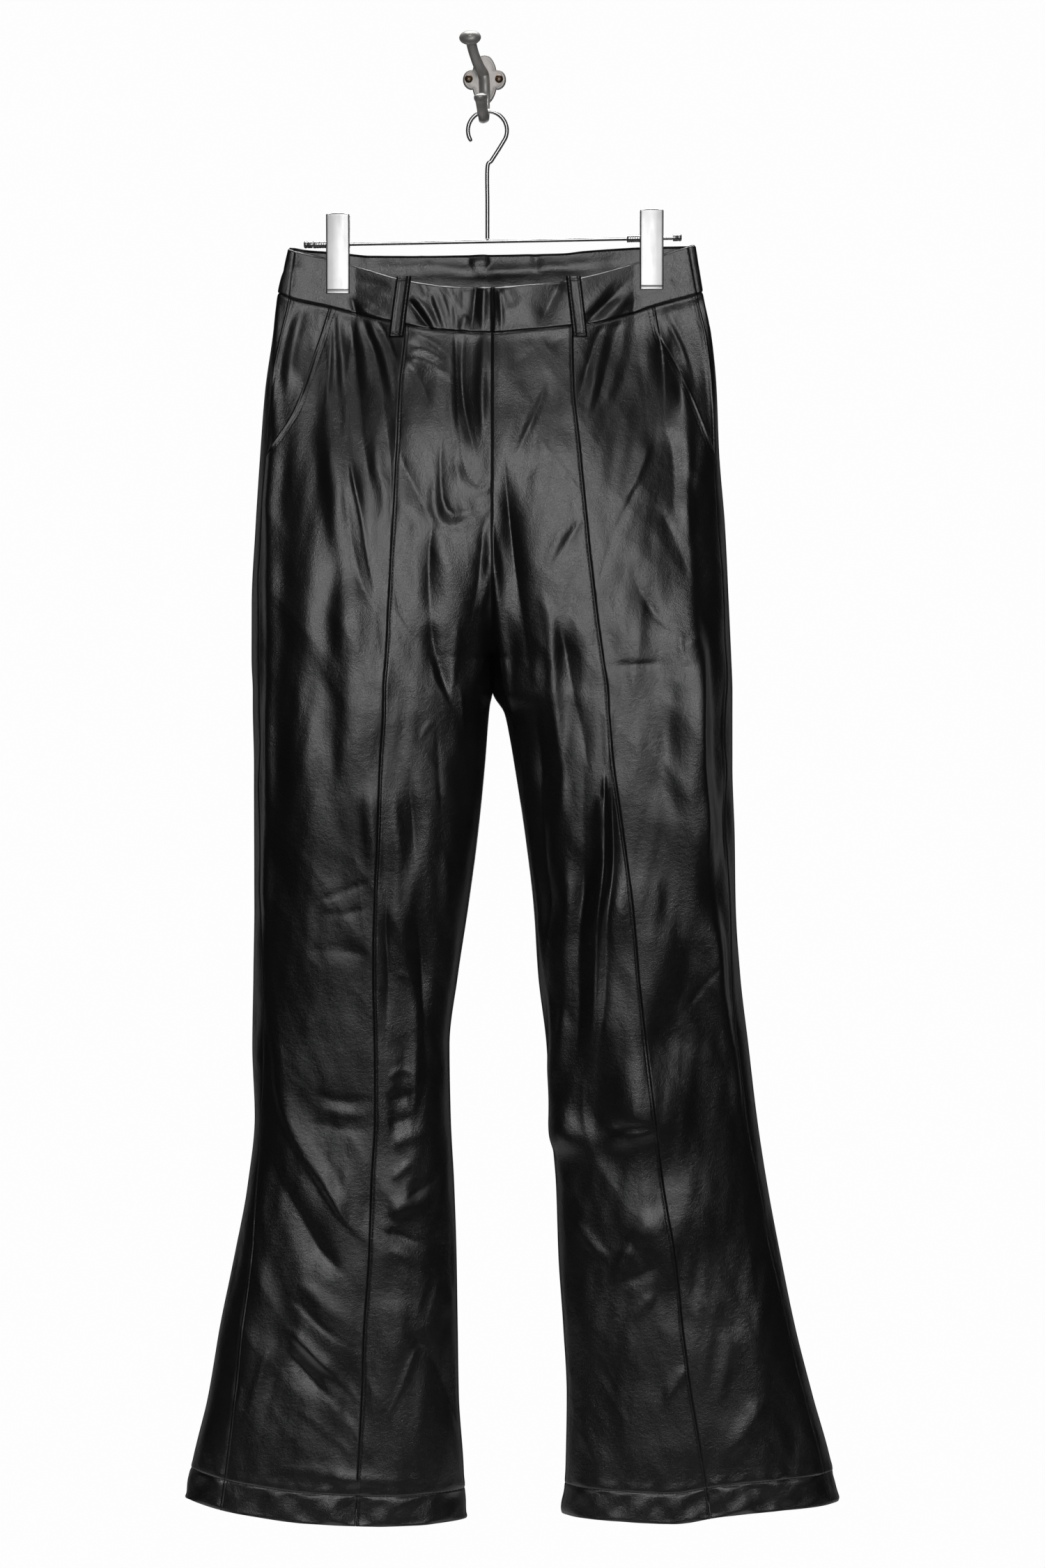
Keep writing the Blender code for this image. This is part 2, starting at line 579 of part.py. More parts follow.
def solid(name, points, faces, finish):
    """A mesh object with its own material, its faces pointing out."""
    colour, roughness, metallic = finish
    mesh = bpy.data.meshes.new(name)
    mesh.from_pydata([tuple(point) for point in points], [], faces)
    build = bmesh.new()
    build.from_mesh(mesh)
    bmesh.ops.recalc_face_normals(build, faces=build.faces)
    build.to_mesh(mesh)
    build.free()
    mesh.shade_smooth()
    mesh.set_sharp_from_angle(angle=math.radians(45))
    material = bpy.data.materials.new(name + "_finish")
    material.use_nodes = True
    surface = material.node_tree.nodes["Principled BSDF"]
    surface.inputs["Base Color"].default_value = (*colour, 1.0)
    surface.inputs["Roughness"].default_value = roughness
    surface.inputs["Metallic"].default_value = metallic
    mesh.materials.append(material)
    item = bpy.data.objects.new(name, mesh)
    bpy.context.scene.collection.objects.link(item)
    return item


def cloth_piece(name, side, turn, z, wall, sink=0.0):
    """A cloth wall under the surface, sunk below it where it lies behind another piece."""
    point = cloth_point(side, turn, z)
    normal = cloth_normal(side, turn, z)
    wall = np.broadcast_to(wall, turn.shape)[..., None]
    return shell(name, point - normal * sink, point - normal * (sink + wall), CLOTH)


def leg_stretches(side):
    """The stretches of cloth between one leg's seams, from the outseam round each way."""

    def outseam(z):
        return seam_turn(side, z, "outseam")

    def mouth(z):
        return mouth_turn(side, z)

    def panel_seam(z):
        return seam_turn(side, z, "panel_seam")

    def middle(z):
        return middle_turn(side, z)

    def centre_back(z):
        return -middle_turn(side, z)

    return {
        "facing": (outseam, mouth, FACING_COLUMNS, 0.0),
        "side": (mouth, panel_seam, FRONT_COLUMNS, 0.2),
        "centre": (panel_seam, middle, FRONT_COLUMNS, 0.3),
        "back": (outseam, centre_back, BACK_COLUMNS, 0.45),
    }


def make_panel(name, side, turn, z, wall, cuts):
    """A long panel as level stretches SEAM_GAP apart, named name_1 and so on from the waist. Each
    stretch bends little enough for its collision pieces to keep clear of the hollow leg.
    """
    ends = [0, *cuts, len(z) - 1]
    for number, (first, last) in enumerate(zip(ends[:-1], ends[1:]), start=1):
        rows = slice(first, last + 1)
        part_z = z[rows].copy()
        part_z[0] -= SEAM_GAP * min(first, 1)
        cloth_piece(f"{name}_{number}", side, turn[rows], part_z, wall[rows])


def make_leg(side):
    """Front centre, front side and back panels, and the pocket facing, of one leg."""
    name = SIDE_NAMES[side]
    stretches = leg_stretches(side)
    rows = panel_rows(PANEL_ROWS)
    wall = np.where(rows > 1 - HEM_DEPTH / PANEL_DROP, BAND_WALL, WALL)[:, None]
    for key, word in (("centre", "front_centre_"), ("side", "front_side_"), ("back", "back_")):
        turn, z = panel_grid(side, [stretches[key]], rows, waist_seam, hem_edge(side))
        cuts = [int(np.argmin(np.abs(rows - place))) for place in PANEL_CUTS[key]]
        make_panel(word + name, side, turn, z, wall, cuts)
    rows = rows[rows <= POCKET_END_ROWS[0]]
    turn, z = panel_grid(side, [stretches["facing"]], rows, waist_seam, hem_edge(side))
    cloth_piece("pocket_facing_" + name, side, turn, z, WALL)


def make_band():
    """Two front stretches that meet at the centre front, and one back stretch.

    Their columns stand on the columns of the panels below them.
    """
    outer = []
    inner = []
    for side in (RIGHT, LEFT):
        stretches = leg_stretches(side)
        front = [stretches["facing"], stretches["side"], stretches["centre"]]
        turn, z = panel_grid(side, front, BAND_ROWS, band_top, band_foot, bottom_z=WAIST_Z)
        cloth_piece("waistband_front_" + SIDE_NAMES[side], side, turn, z, BAND_WALL)
        back = [stretches["back"]]
        turn, z = panel_grid(side, back, BAND_ROWS, band_top, band_foot, bottom_z=WAIST_Z)
        point = cloth_point(side, turn, z)
        under = point - cloth_normal(side, turn, z) * BAND_WALL
        if side == LEFT:
            point = point[:, ::-1]
            under = under[:, ::-1]
        outer.append(point)
        inner.append(under)
    shell("waistband_back", np.concatenate(outer, axis=1), np.concatenate(inner, axis=1), CLOTH)


def make_belt_loop(name, side, face, x_top, x_foot, z_top, z_foot):
    """A strip over the band, made from the band's points moved out, bowed in its middle.

    face is 1 on the front and -1 on the back.
    """
    along = np.linspace(0.0, 1.0, 9)[:, None]
    across = np.linspace(-0.5, 0.5, 4)[None, :] * LOOP_WIDTH
    z = z_top + (z_foot - z_top) * along + 0 * across
    x = x_top + (x_foot - x_top) * along + across
    turn = face * turn_at(side, x, z)
    point = cloth_point(side, turn, z)
    normal = cloth_normal(side, turn, z)
    lift = (LOOP_LIFT + LOOP_BOW * np.sin(math.pi * along) + 0 * across)[..., None]
    shell(name, point + normal * (lift + LOOP_WALL), point + normal * lift, CLOTH)


def make_belt_loops():
    """Front loops over the panel seams, back loops beside and on the centre back."""
    make_belt_loop("belt_loop_front_right", RIGHT, 1, -0.0672, -0.0735, -0.1775, -0.2285)
    make_belt_loop("belt_loop_front_left", LEFT, 1, 0.0755, 0.0810, -0.1775, -0.2285)
    make_belt_loop("belt_loop_back_right", RIGHT, -1, -0.0700, -0.0740, -0.1560, -0.2060)
    make_belt_loop("belt_loop_back_left", LEFT, -1, 0.0850, 0.0890, -0.1530, -0.2030)
    make_belt_loop("belt_loop_back_centre", LEFT, -1, MIDDLE_X, MIDDLE_X, -0.1555, -0.2060)


def make_fly():
    """The curved facing behind the right front, along the centre front."""

    def stitch_line(z):
        return turn_at(RIGHT, smooth(z, FLY["z"], FLY["x"]), z)

    def middle(z):
        return middle_turn(RIGHT, z)

    turn, z = panel_grid(
        RIGHT,
        [(stitch_line, middle, FLY_COLUMNS, 0.0)],
        np.linspace(0.0, 1.0, FLY_ROW_COUNT),
        lambda x, turn: waist_seam(x, turn) - LAYER_GAP,
        lambda x, turn: FLY["z"][-1],
        FLY_INSET,
        WAIST_Z,
    )
    cloth_piece("fly_facing", RIGHT, turn, z, 0.001, sink=WALL + LAYER_GAP)


def tube(name, path, radii, sides, finish):
    """A round rod along a path, its rings carried along without twist, with closed ends."""
    path = np.array(path, dtype=float)
    radii = np.broadcast_to(radii, len(path))
    tangent = np.gradient(path, axis=0)
    tangent /= np.linalg.norm(tangent, axis=1, keepdims=True)
    across = np.array([0.0, 1.0, 0.0])
    if abs(tangent[0] @ across) > 0.9:
        across = np.array([1.0, 0.0, 0.0])
    angle = np.arange(sides) * 2 * math.pi / sides
    points = []
    for centre, direction, radius in zip(path, tangent, radii):
        across = across - direction * (across @ direction)
        across /= np.linalg.norm(across)
        other = np.cross(direction, across)
        ring = np.cos(angle)[:, None] * across + np.sin(angle)[:, None] * other
        points.append(centre + ring * radius)
    points = np.concatenate(points)
    faces = [list(range(sides)), list(range(len(points) - sides, len(points)))]
    for i in range(len(path) - 1):
        for j in range(sides):
            k = (j + 1) % sides
            low = i * sides
            faces.append([low + j, low + k, low + sides + k, low + sides + j])
    return solid(name, points, faces, finish)


def turned(name, profile, place, axis, sides, finish):
    """A closed ring profile of (along, radius) points turned about an axis."""
    axis = np.array(axis, dtype=float)
    axis /= np.linalg.norm(axis)
    across = np.cross(axis, [0.0, 0.3, 1.0])
    across /= np.linalg.norm(across)
    other = np.cross(axis, across)
    points = []
    for j in range(sides):
        angle = 2 * math.pi * j / sides
        out = math.cos(angle) * across + math.sin(angle) * other
        points += [np.array(place) + axis * along + out * radius for along, radius in profile]
    count = len(profile)
    faces = []
    for j in range(sides):
        k = (j + 1) % sides
        for i in range(count):
            n = (i + 1) % count
            faces.append([j * count + i, j * count + n, k * count + n, k * count + i])
    item = solid(name, points, faces, finish)
    close_poles(item.data)
    return item


def close_poles(mesh):
    """Joins the points that a turned profile puts on its own axis."""
    build = bmesh.new()
    build.from_mesh(mesh)
    bmesh.ops.remove_doubles(build, verts=build.verts, dist=1e-6)
    bmesh.ops.dissolve_degenerate(build, dist=1e-7, edges=build.edges)
    bmesh.ops.recalc_face_normals(build, faces=build.faces)
    build.to_mesh(mesh)
    build.free()


def bar_point(x):
    """A point on the hanger bar's axis, which hangs a little lower on the right."""
    (x1, z1), (x2, z2) = BAR_ENDS
    return np.array([x, HANG_Y, z1 + (z2 - z1) * (x - x1) / (x2 - x1)])


def make_hanger():
    """Bar with two end caps, and the wire hook whose loop stands right above its stem."""
    ends = [bar_point(x) for x, _ in BAR_ENDS]
    tube("hanger_bar", [ends[0], (ends[0] + ends[1]) / 2, ends[1]], WIRE, 12, STEEL)
    along = (ends[1] - ends[0]) / np.linalg.norm(ends[1] - ends[0])
    bore = WIRE + SEAM_GAP
    cap = ((-0.005, bore), (-0.005, 0.0030), (0.0012, 0.0032), (0.0024, 0.0022))
    cap += ((0.0026, 0.0), (SEAM_GAP, 0.0), (SEAM_GAP, bore))
    turned("bar_cap_right", cap, ends[0], -along, 12, STEEL)
    turned("bar_cap_left", cap, ends[1], along, 12, STEEL)

    saddle = np.argmin(PRONGS["z"])
    saddle_z = PRONGS["z"][saddle] + PRONGS["radius"][saddle] + SADDLE_GAP
    centre_z = saddle_z + WIRE - HOOK_RADIUS
    foot = bar_point(STEM_X)[2] + WIRE + SEAM_GAP
    neck_z = centre_z - 1.9 * HOOK_RADIUS
    path = [(STEM_X, foot), (STEM_X, (foot + neck_z) / 2), (STEM_X, neck_z)]
    path += [(STEM_X + 0.0035, neck_z + 0.006), (STEM_X + 0.0095, centre_z - 0.97 * HOOK_RADIUS)]
    for degrees in range(-38, 216, 18):
        angle = math.radians(degrees)
        path.append(
            (STEM_X + HOOK_RADIUS * math.cos(angle), centre_z + HOOK_RADIUS * math.sin(angle))
        )
    tube("hanger_hook", [(x, HANG_Y, z) for x, z in path], WIRE, 10, STEEL)


def make_clip(clip, name):
    """Two bent plates that press on the waist, and the sleeve round the bar between them."""
    side_step = np.linspace(-1.0, 1.0, 7)
    height = clip["top"] - clip["bottom"]
    down = np.linspace(0.0, 1.0, 11) * height
    half_gap = np.interp(down, BENDS["down"], BENDS["half_gap"])
    above = np.maximum(CLIP_CORNER - down, 0)
    half_width = CLIP_WIDTH / 2 - CLIP_CORNER + np.sqrt(CLIP_CORNER**2 - above**2)
    curl = CLIP_CURL * np.exp(-(((height - down) / 0.003) ** 2))
    x = clip["x"] + half_width[:, None] * side_step
    z = clip["top"] - down[:, None] + 0 * side_step
    for face, word in ((-1, "front"), (1, "back")):
        near = HANG_Y + face * (half_gap + curl)[:, None] + 0 * side_step
        far = near + face * CLIP_WALL
        near = np.stack([x, near, z], axis=-1)
        far = np.stack([x, far, z], axis=-1)
        shell("clip_" + name + "_plate_" + word, far, near, STEEL)
    bore = WIRE + SEAM_GAP
    start = bar_point(clip["x"] - SLEEVE_REACH)
    axis = bar_point(clip["x"]) - start
    ring = ((0.0, bore), (0.0, SLEEVE_RADIUS), (SLEEVE_LENGTH, SLEEVE_RADIUS), (SLEEVE_LENGTH, bore))
    turned("clip_" + name + "_sleeve", ring, start, axis, 12, STEEL)


def make_wall_hook():
    """Four-lobed plate, two screw heads, and one casting of rib, upper and lower prong."""
    angle = np.arange(48) * 2 * math.pi / 48
    lobes = 1 - 0.13 * np.sin(2 * angle) ** 2
    x = PLATE_REACH[0] * lobes * np.cos(angle)
    z = PLATE_REACH[1] * lobes * np.sin(angle)
    rings = (
        (0.0, 1.0),
        (-PLATE_WALL + PLATE_EDGE, 1.0),
        (-PLATE_WALL, 1 - PLATE_EDGE / PLATE_REACH[0]),
    )
    points = [(a * scale, y, b * scale) for y, scale in rings for a, b in zip(x, z)]
    count = len(angle)
    faces = [list(range(count)), list(range(2 * count, 3 * count))]
    for i in range(2):
        for j in range(count):
            k = (j + 1) % count
            faces.append([i * count + j, i * count + k, (i + 1) * count + k, (i + 1) * count + j])
    solid("wall_plate", points, faces, CAST)

    head = ((0.0, 0.0), (0.0, 0.0034), (0.0006, 0.0034), (0.0013, 0.0024), (0.0016, 0.0))
    for screw_x, name in zip(SCREW_X, ("screw_right", "screw_left")):
        place = (screw_x, -PLATE_WALL - SEAM_GAP, SCREW_Z)
        turned(name, head, place, (0, -1, 0), 16, BRONZE)

    axis = np.stack([PRONGS["x"], PRONGS["y"], PRONGS["z"]], axis=1)
    tube("wall_hook_prongs", axis, PRONGS["radius"], 10, CAST)


def main():
    """Clears the scene and makes every piece."""
    for item in list(bpy.data.objects):
        bpy.data.objects.remove(item, do_unlink=True)
    for side in (RIGHT, LEFT):
        make_leg(side)
    make_band()
    make_belt_loops()
    make_fly()
    make_hanger()
    for i, name in enumerate(("right", "left")):
        make_clip({column: CLIPS[column][i] for column in CLIP_NAMES}, name)
    make_wall_hook()


main()
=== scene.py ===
"""Looks of the flared faux leather trousers on a clip hanger and wall hook.

Metres, +Z up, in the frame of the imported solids: the wall is y = 0, the front faces -Y, and the
wearer's right leg is on the -X side. Each cloth piece is a thin shell on its solid's form: level
curves (superellipses) read from short tables give the form, and a relief on top of it gives the
creases, seams and hems.
"""

import math

import bmesh
import bpy
import numpy as np
from bpy.props import FloatProperty, FloatVectorProperty, PointerProperty
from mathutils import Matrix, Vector


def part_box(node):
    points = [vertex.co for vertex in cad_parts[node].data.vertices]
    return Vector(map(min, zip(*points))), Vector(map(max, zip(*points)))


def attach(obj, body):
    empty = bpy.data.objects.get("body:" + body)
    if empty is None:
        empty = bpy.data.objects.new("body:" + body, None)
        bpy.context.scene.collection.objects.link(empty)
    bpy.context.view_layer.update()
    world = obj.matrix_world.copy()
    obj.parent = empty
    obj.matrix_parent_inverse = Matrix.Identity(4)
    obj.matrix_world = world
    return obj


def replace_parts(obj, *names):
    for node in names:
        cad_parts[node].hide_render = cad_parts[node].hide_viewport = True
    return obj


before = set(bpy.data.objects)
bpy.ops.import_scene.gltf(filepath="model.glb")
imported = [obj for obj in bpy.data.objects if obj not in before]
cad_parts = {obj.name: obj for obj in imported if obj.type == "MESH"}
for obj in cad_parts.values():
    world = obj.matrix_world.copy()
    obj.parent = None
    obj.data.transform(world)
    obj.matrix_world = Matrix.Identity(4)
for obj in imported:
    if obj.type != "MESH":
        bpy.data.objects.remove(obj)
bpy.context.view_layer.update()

bl_info = {
    "name": "Flared trousers on a clip hanger",
    "version": (1, 0, 0),
    "blender": (4, 5, 0),
    "location": "3D View > Sidebar > Trousers",
    "description": "Builds the trousers, hanger, wall hook and studio stage",
    "category": "Add Mesh",
}

BODY = "root"
RIGHT = -1
LEFT = 1
SIDE_NAMES = {RIGHT: "right", LEFT: "left"}
MM = 0.001

CAMERA = (0.0327, -2.845, -0.6055)
PHOTO_SIZE = (1500, 2250)
PIXEL_PER_METRE = 0.59 * MM / 2.8  # a picture's pixel, for each metre from the camera

# ---------------------------------------------------------------------------------------------
# Sizes of the form, as in the solids
# ---------------------------------------------------------------------------------------------

MIDDLE_X = 0.0075  # the plane where the two legs meet
CROTCH_Z = -0.500  # foot of the crotch seam
LEGS_PART_Z = -0.532  # the legs touch down to here
HANG_Y = -0.045  # the plane in which the hanger and the waistband hang
WAIST_Z = -0.20
HEM_Z = -1.21
BAND_DEPTH = 0.0385
POCKET_END_Z = -0.329
FLY_STITCH_Z = -0.226  # top of the fly's curved stitching
FLY_END_Z = -0.3577  # foot of the fly's stitching and facing
LAP_END_Z = -0.362  # foot of the fly's lap
WIRE = 0.00175  # radius of the hanger's wire

# Each leg's outline from the front: where its level curve meets the inner edge, the panel seam,
# the outseam and the outer edge
LEVEL_NAMES = ("z", "inner", "panel_seam", "outseam", "outer")
LEVEL_ROWS = {
    RIGHT: (
        (-0.151, 0.007, -0.064, -0.160, -0.165),
        (-0.193, 0.007, -0.065, -0.165, -0.175),
        (-0.228, 0.007, -0.067, -0.173, -0.179),
        (-0.272, 0.007, -0.071, -0.180, -0.185),
        (-0.325, 0.007, -0.073, -0.185, -0.189),
        (-0.390, 0.007, -0.076, -0.189, -0.193),
        (-0.455, 0.007, -0.079, -0.191, -0.196),
        (-0.500, 0.0075, -0.081, -0.190, -0.196),
        (-0.528, 0.0074, -0.083, -0.190, -0.195),
        (-0.540, 0.0052, -0.083, -0.190, -0.195),
        (-0.591, 0.001, -0.086, -0.190, -0.194),
        (-0.650, -0.005, -0.088, -0.190, -0.194),
        (-0.709, -0.013, -0.091, -0.189, -0.194),
        (-0.768, -0.022, -0.092, -0.187, -0.195),
        (-0.827, -0.029, -0.091, -0.187, -0.196),
        (-0.886, -0.028, -0.091, -0.189, -0.194),
        (-0.945, -0.025, -0.094, -0.193, -0.200),
        (-1.004, -0.023, -0.096, -0.197, -0.211),
        (-1.063, -0.022, -0.100, -0.204, -0.223),
        (-1.122, -0.021, -0.102, -0.210, -0.233),
        (-1.181, -0.017, -0.105, -0.217, -0.247),
        (-1.234, -0.015, -0.107, -0.224, -0.255),
    ),
    LEFT: (
        (-0.151, 0.008, 0.076, 0.173, 0.179),
        (-0.193, 0.008, 0.075, 0.181, 0.186),
        (-0.228, 0.008, 0.075, 0.189, 0.193),
        (-0.272, 0.008, 0.076, 0.194, 0.197),
        (-0.325, 0.008, 0.081, 0.196, 0.199),
        (-0.390, 0.008, 0.087, 0.200, 0.204),
        (-0.455, 0.008, 0.094, 0.203, 0.207),
        (-0.500, 0.0075, 0.100, 0.205, 0.209),
        (-0.528, 0.0076, 0.104, 0.206, 0.210),
        (-0.546, 0.0174, 0.105, 0.206, 0.210),
        (-0.568, 0.0221, 0.107, 0.206, 0.210),
        (-0.591, 0.026, 0.109, 0.207, 0.210),
        (-0.650, 0.035, 0.117, 0.208, 0.212),
        (-0.709, 0.042, 0.125, 0.209, 0.213),
        (-0.768, 0.046, 0.130, 0.211, 0.217),
        (-0.827, 0.053, 0.137, 0.216, 0.224),
        (-0.886, 0.056, 0.144, 0.223, 0.231),
        (-0.945, 0.061, 0.151, 0.234, 0.240),
        (-1.004, 0.063, 0.161, 0.245, 0.251),
        (-1.063, 0.067, 0.167, 0.258, 0.263),
        (-1.122, 0.070, 0.175, 0.272, 0.278),
        (-1.181, 0.069, 0.185, 0.287, 0.294),
        (-1.234, 0.066, 0.192, 0.298, 0.302),
    ),
}
# The form from the side: the middle of the depth, how far the front and the back stand out from
# it, and the exponent of the superellipse
DEPTH_NAMES = ("z", "middle_y", "front", "back", "squareness")
DEPTH_ROWS = (
    (-0.150, -0.045, 0.0100, 0.009, 2.6),
    (-0.215, -0.045, 0.0125, 0.012, 2.6),
    (-0.260, -0.047, 0.0215, 0.021, 2.5),
    (-0.330, -0.049, 0.036, 0.034, 2.4),
    (-0.400, -0.051, 0.041, 0.040, 2.4),
    (-0.500, -0.053, 0.044, 0.043, 2.4),
    (-0.600, -0.053, 0.044, 0.043, 2.3),
    (-0.700, -0.050, 0.040, 0.037, 2.3),
    (-0.800, -0.047, 0.0335, 0.030, 2.3),
    (-0.900, -0.046, 0.0305, 0.027, 2.3),
    (-1.000, -0.048, 0.0300, 0.029, 2.3),
    (-1.100, -0.050, 0.0305, 0.032, 2.4),
    (-1.235, -0.051, 0.0315, 0.034, 2.4),
)
# How far past the middle plane a leg's level curve would run, as a share of its outer width
PAST_NAMES = ("z", "share")
PAST_ROWS = (
    (-0.150, 1.00),
    (-0.240, 1.00),
    (-0.300, 0.80),
    (-0.360, 0.50),
    (-0.420, 0.25),
    (-0.460, 0.10),
    (-0.485, 0.03),
    (CROTCH_Z, 0.00),
)
# Heights along the waist: the seam under the waistband, and its top in front and behind
WAIST_NAMES = ("x", "seam", "front_top", "back_top")
WAIST_ROWS = (
    (-0.175, -0.1910, -0.1512, -0.1512),
    (-0.163, -0.1955, -0.1550, -0.1530),
    (-0.135, -0.2014, -0.1610, -0.1550),
    (-0.105, -0.2085, -0.1690, -0.1575),
    (-0.074, -0.2160, -0.1784, -0.1572),
    (-0.050, -0.2212, -0.1830, -0.1570),
    (-0.024, -0.2240, -0.1858, -0.1565),
    (0.005, -0.2254, -0.1862, -0.1561),
    (0.036, -0.2230, -0.1840, -0.1556),
    (0.070, -0.2196, -0.1806, -0.1549),
    (0.088, -0.2175, -0.1770, -0.1530),
    (0.118, -0.2100, -0.1690, -0.1515),
    (0.145, -0.2013, -0.1610, -0.1505),
    (0.186, -0.1910, -0.1495, -0.1495),
)
# Height of the hem's edge, from the leg's inner side at 0 to its outer side at 1
HEM_NAMES = ("share", "z")
HEM_ROWS = {
    RIGHT: ((0.0, -1.2245), (0.25, -1.2265), (0.55, -1.2235), (0.80, -1.2165), (1.0, -1.2075)),
    LEFT: ((0.0, -1.2205), (0.20, -1.2225), (0.38, -1.2240), (0.60, -1.2170), (1.0, -1.2103)),
}
# Slanted pocket mouths, and the fly's curved stitching
LINE_NAMES = ("z", "x")
POCKET_ROWS = {
    RIGHT: ((-0.200, -0.1305), (-0.2425, -0.1436), (-0.289, -0.1593), (-0.333, -0.1860)),
    LEFT: ((-0.200, 0.1445), (-0.224, 0.1496), (-0.2536, 0.1647), (-0.289, 0.1810), (-0.335, 0.1980)),
}
FLY_ROWS = (
    (-0.220, -0.0249),
    (-0.2734, -0.0226),
    (-0.3205, -0.0202),
    (-0.3452, -0.0141),
    (FLY_END_Z, -0.0034),
    (-0.3606, 0.0070),
)
# The clips: the middle and the upper and lower end of their plates
CLIP_NAMES = ("x", "top", "bottom")
CLIP_ROWS = ((-0.1235, -0.1220, -0.1905), (0.1420, -0.1185, -0.1870))
GRIP_HALF = 0.0027  # half the thickness that a clip grips
GRIP_FLAT = 0.0150  # half the width that it presses flat
GRIP_POWER = 1.35
# How far to the side a clip's grip reaches, and how strong it is, by height
GRIP_SPREAD = ((-0.150, 0.050), (-0.215, 0.052), (-0.345, 0.066), (-0.430, 0.070))
GRIP_FADE = (
    (-0.150, 1.0),
    (-0.205, 1.0),
    (-0.250, 0.64),
    (-0.300, 0.28),
    (-0.345, 0.08),
    (-0.385, 0.01),
    (-0.430, 0.0),
)

BAR_ENDS = (-0.150, 0.165)  # of the hanger's bar, in x
# The cast prongs' path: x, y, z and radius
PRONG_ROWS = (
    (-0.0120, -0.0560, 0.0265, 0.0012),
    (-0.0119, -0.0545, 0.0262, 0.0040),
    (-0.0117, -0.0520, 0.0255, 0.0062),
    (-0.0114, -0.0490, 0.0247, 0.0060),
    (-0.0111, -0.0465, 0.0238, 0.0034),
    (-0.0090, -0.0330, 0.0170, 0.0030),
    (-0.0050, -0.0180, 0.0090, 0.0032),
    (-0.0010, -0.0066, 0.0040, 0.0033),
    (0.0, -0.0066, -0.0060, 0.0033),
    (0.0, -0.0085, -0.0170, 0.0033),
    (0.0, -0.0180, -0.0310, 0.0033),
    (0.0, -0.0300, -0.0395, 0.0032),
    (0.0, -0.0450, -0.0415, 0.0032),
    (-0.0010, -0.0560, -0.0375, 0.0032),
    (-0.0020, -0.0620, -0.0310, 0.0034),
    (-0.0024, -0.0636, -0.0285, 0.0040),
    (-0.0026, -0.0644, -0.0262, 0.0036),
    (-0.0027, -0.0648, -0.0248, 0.0012),
)
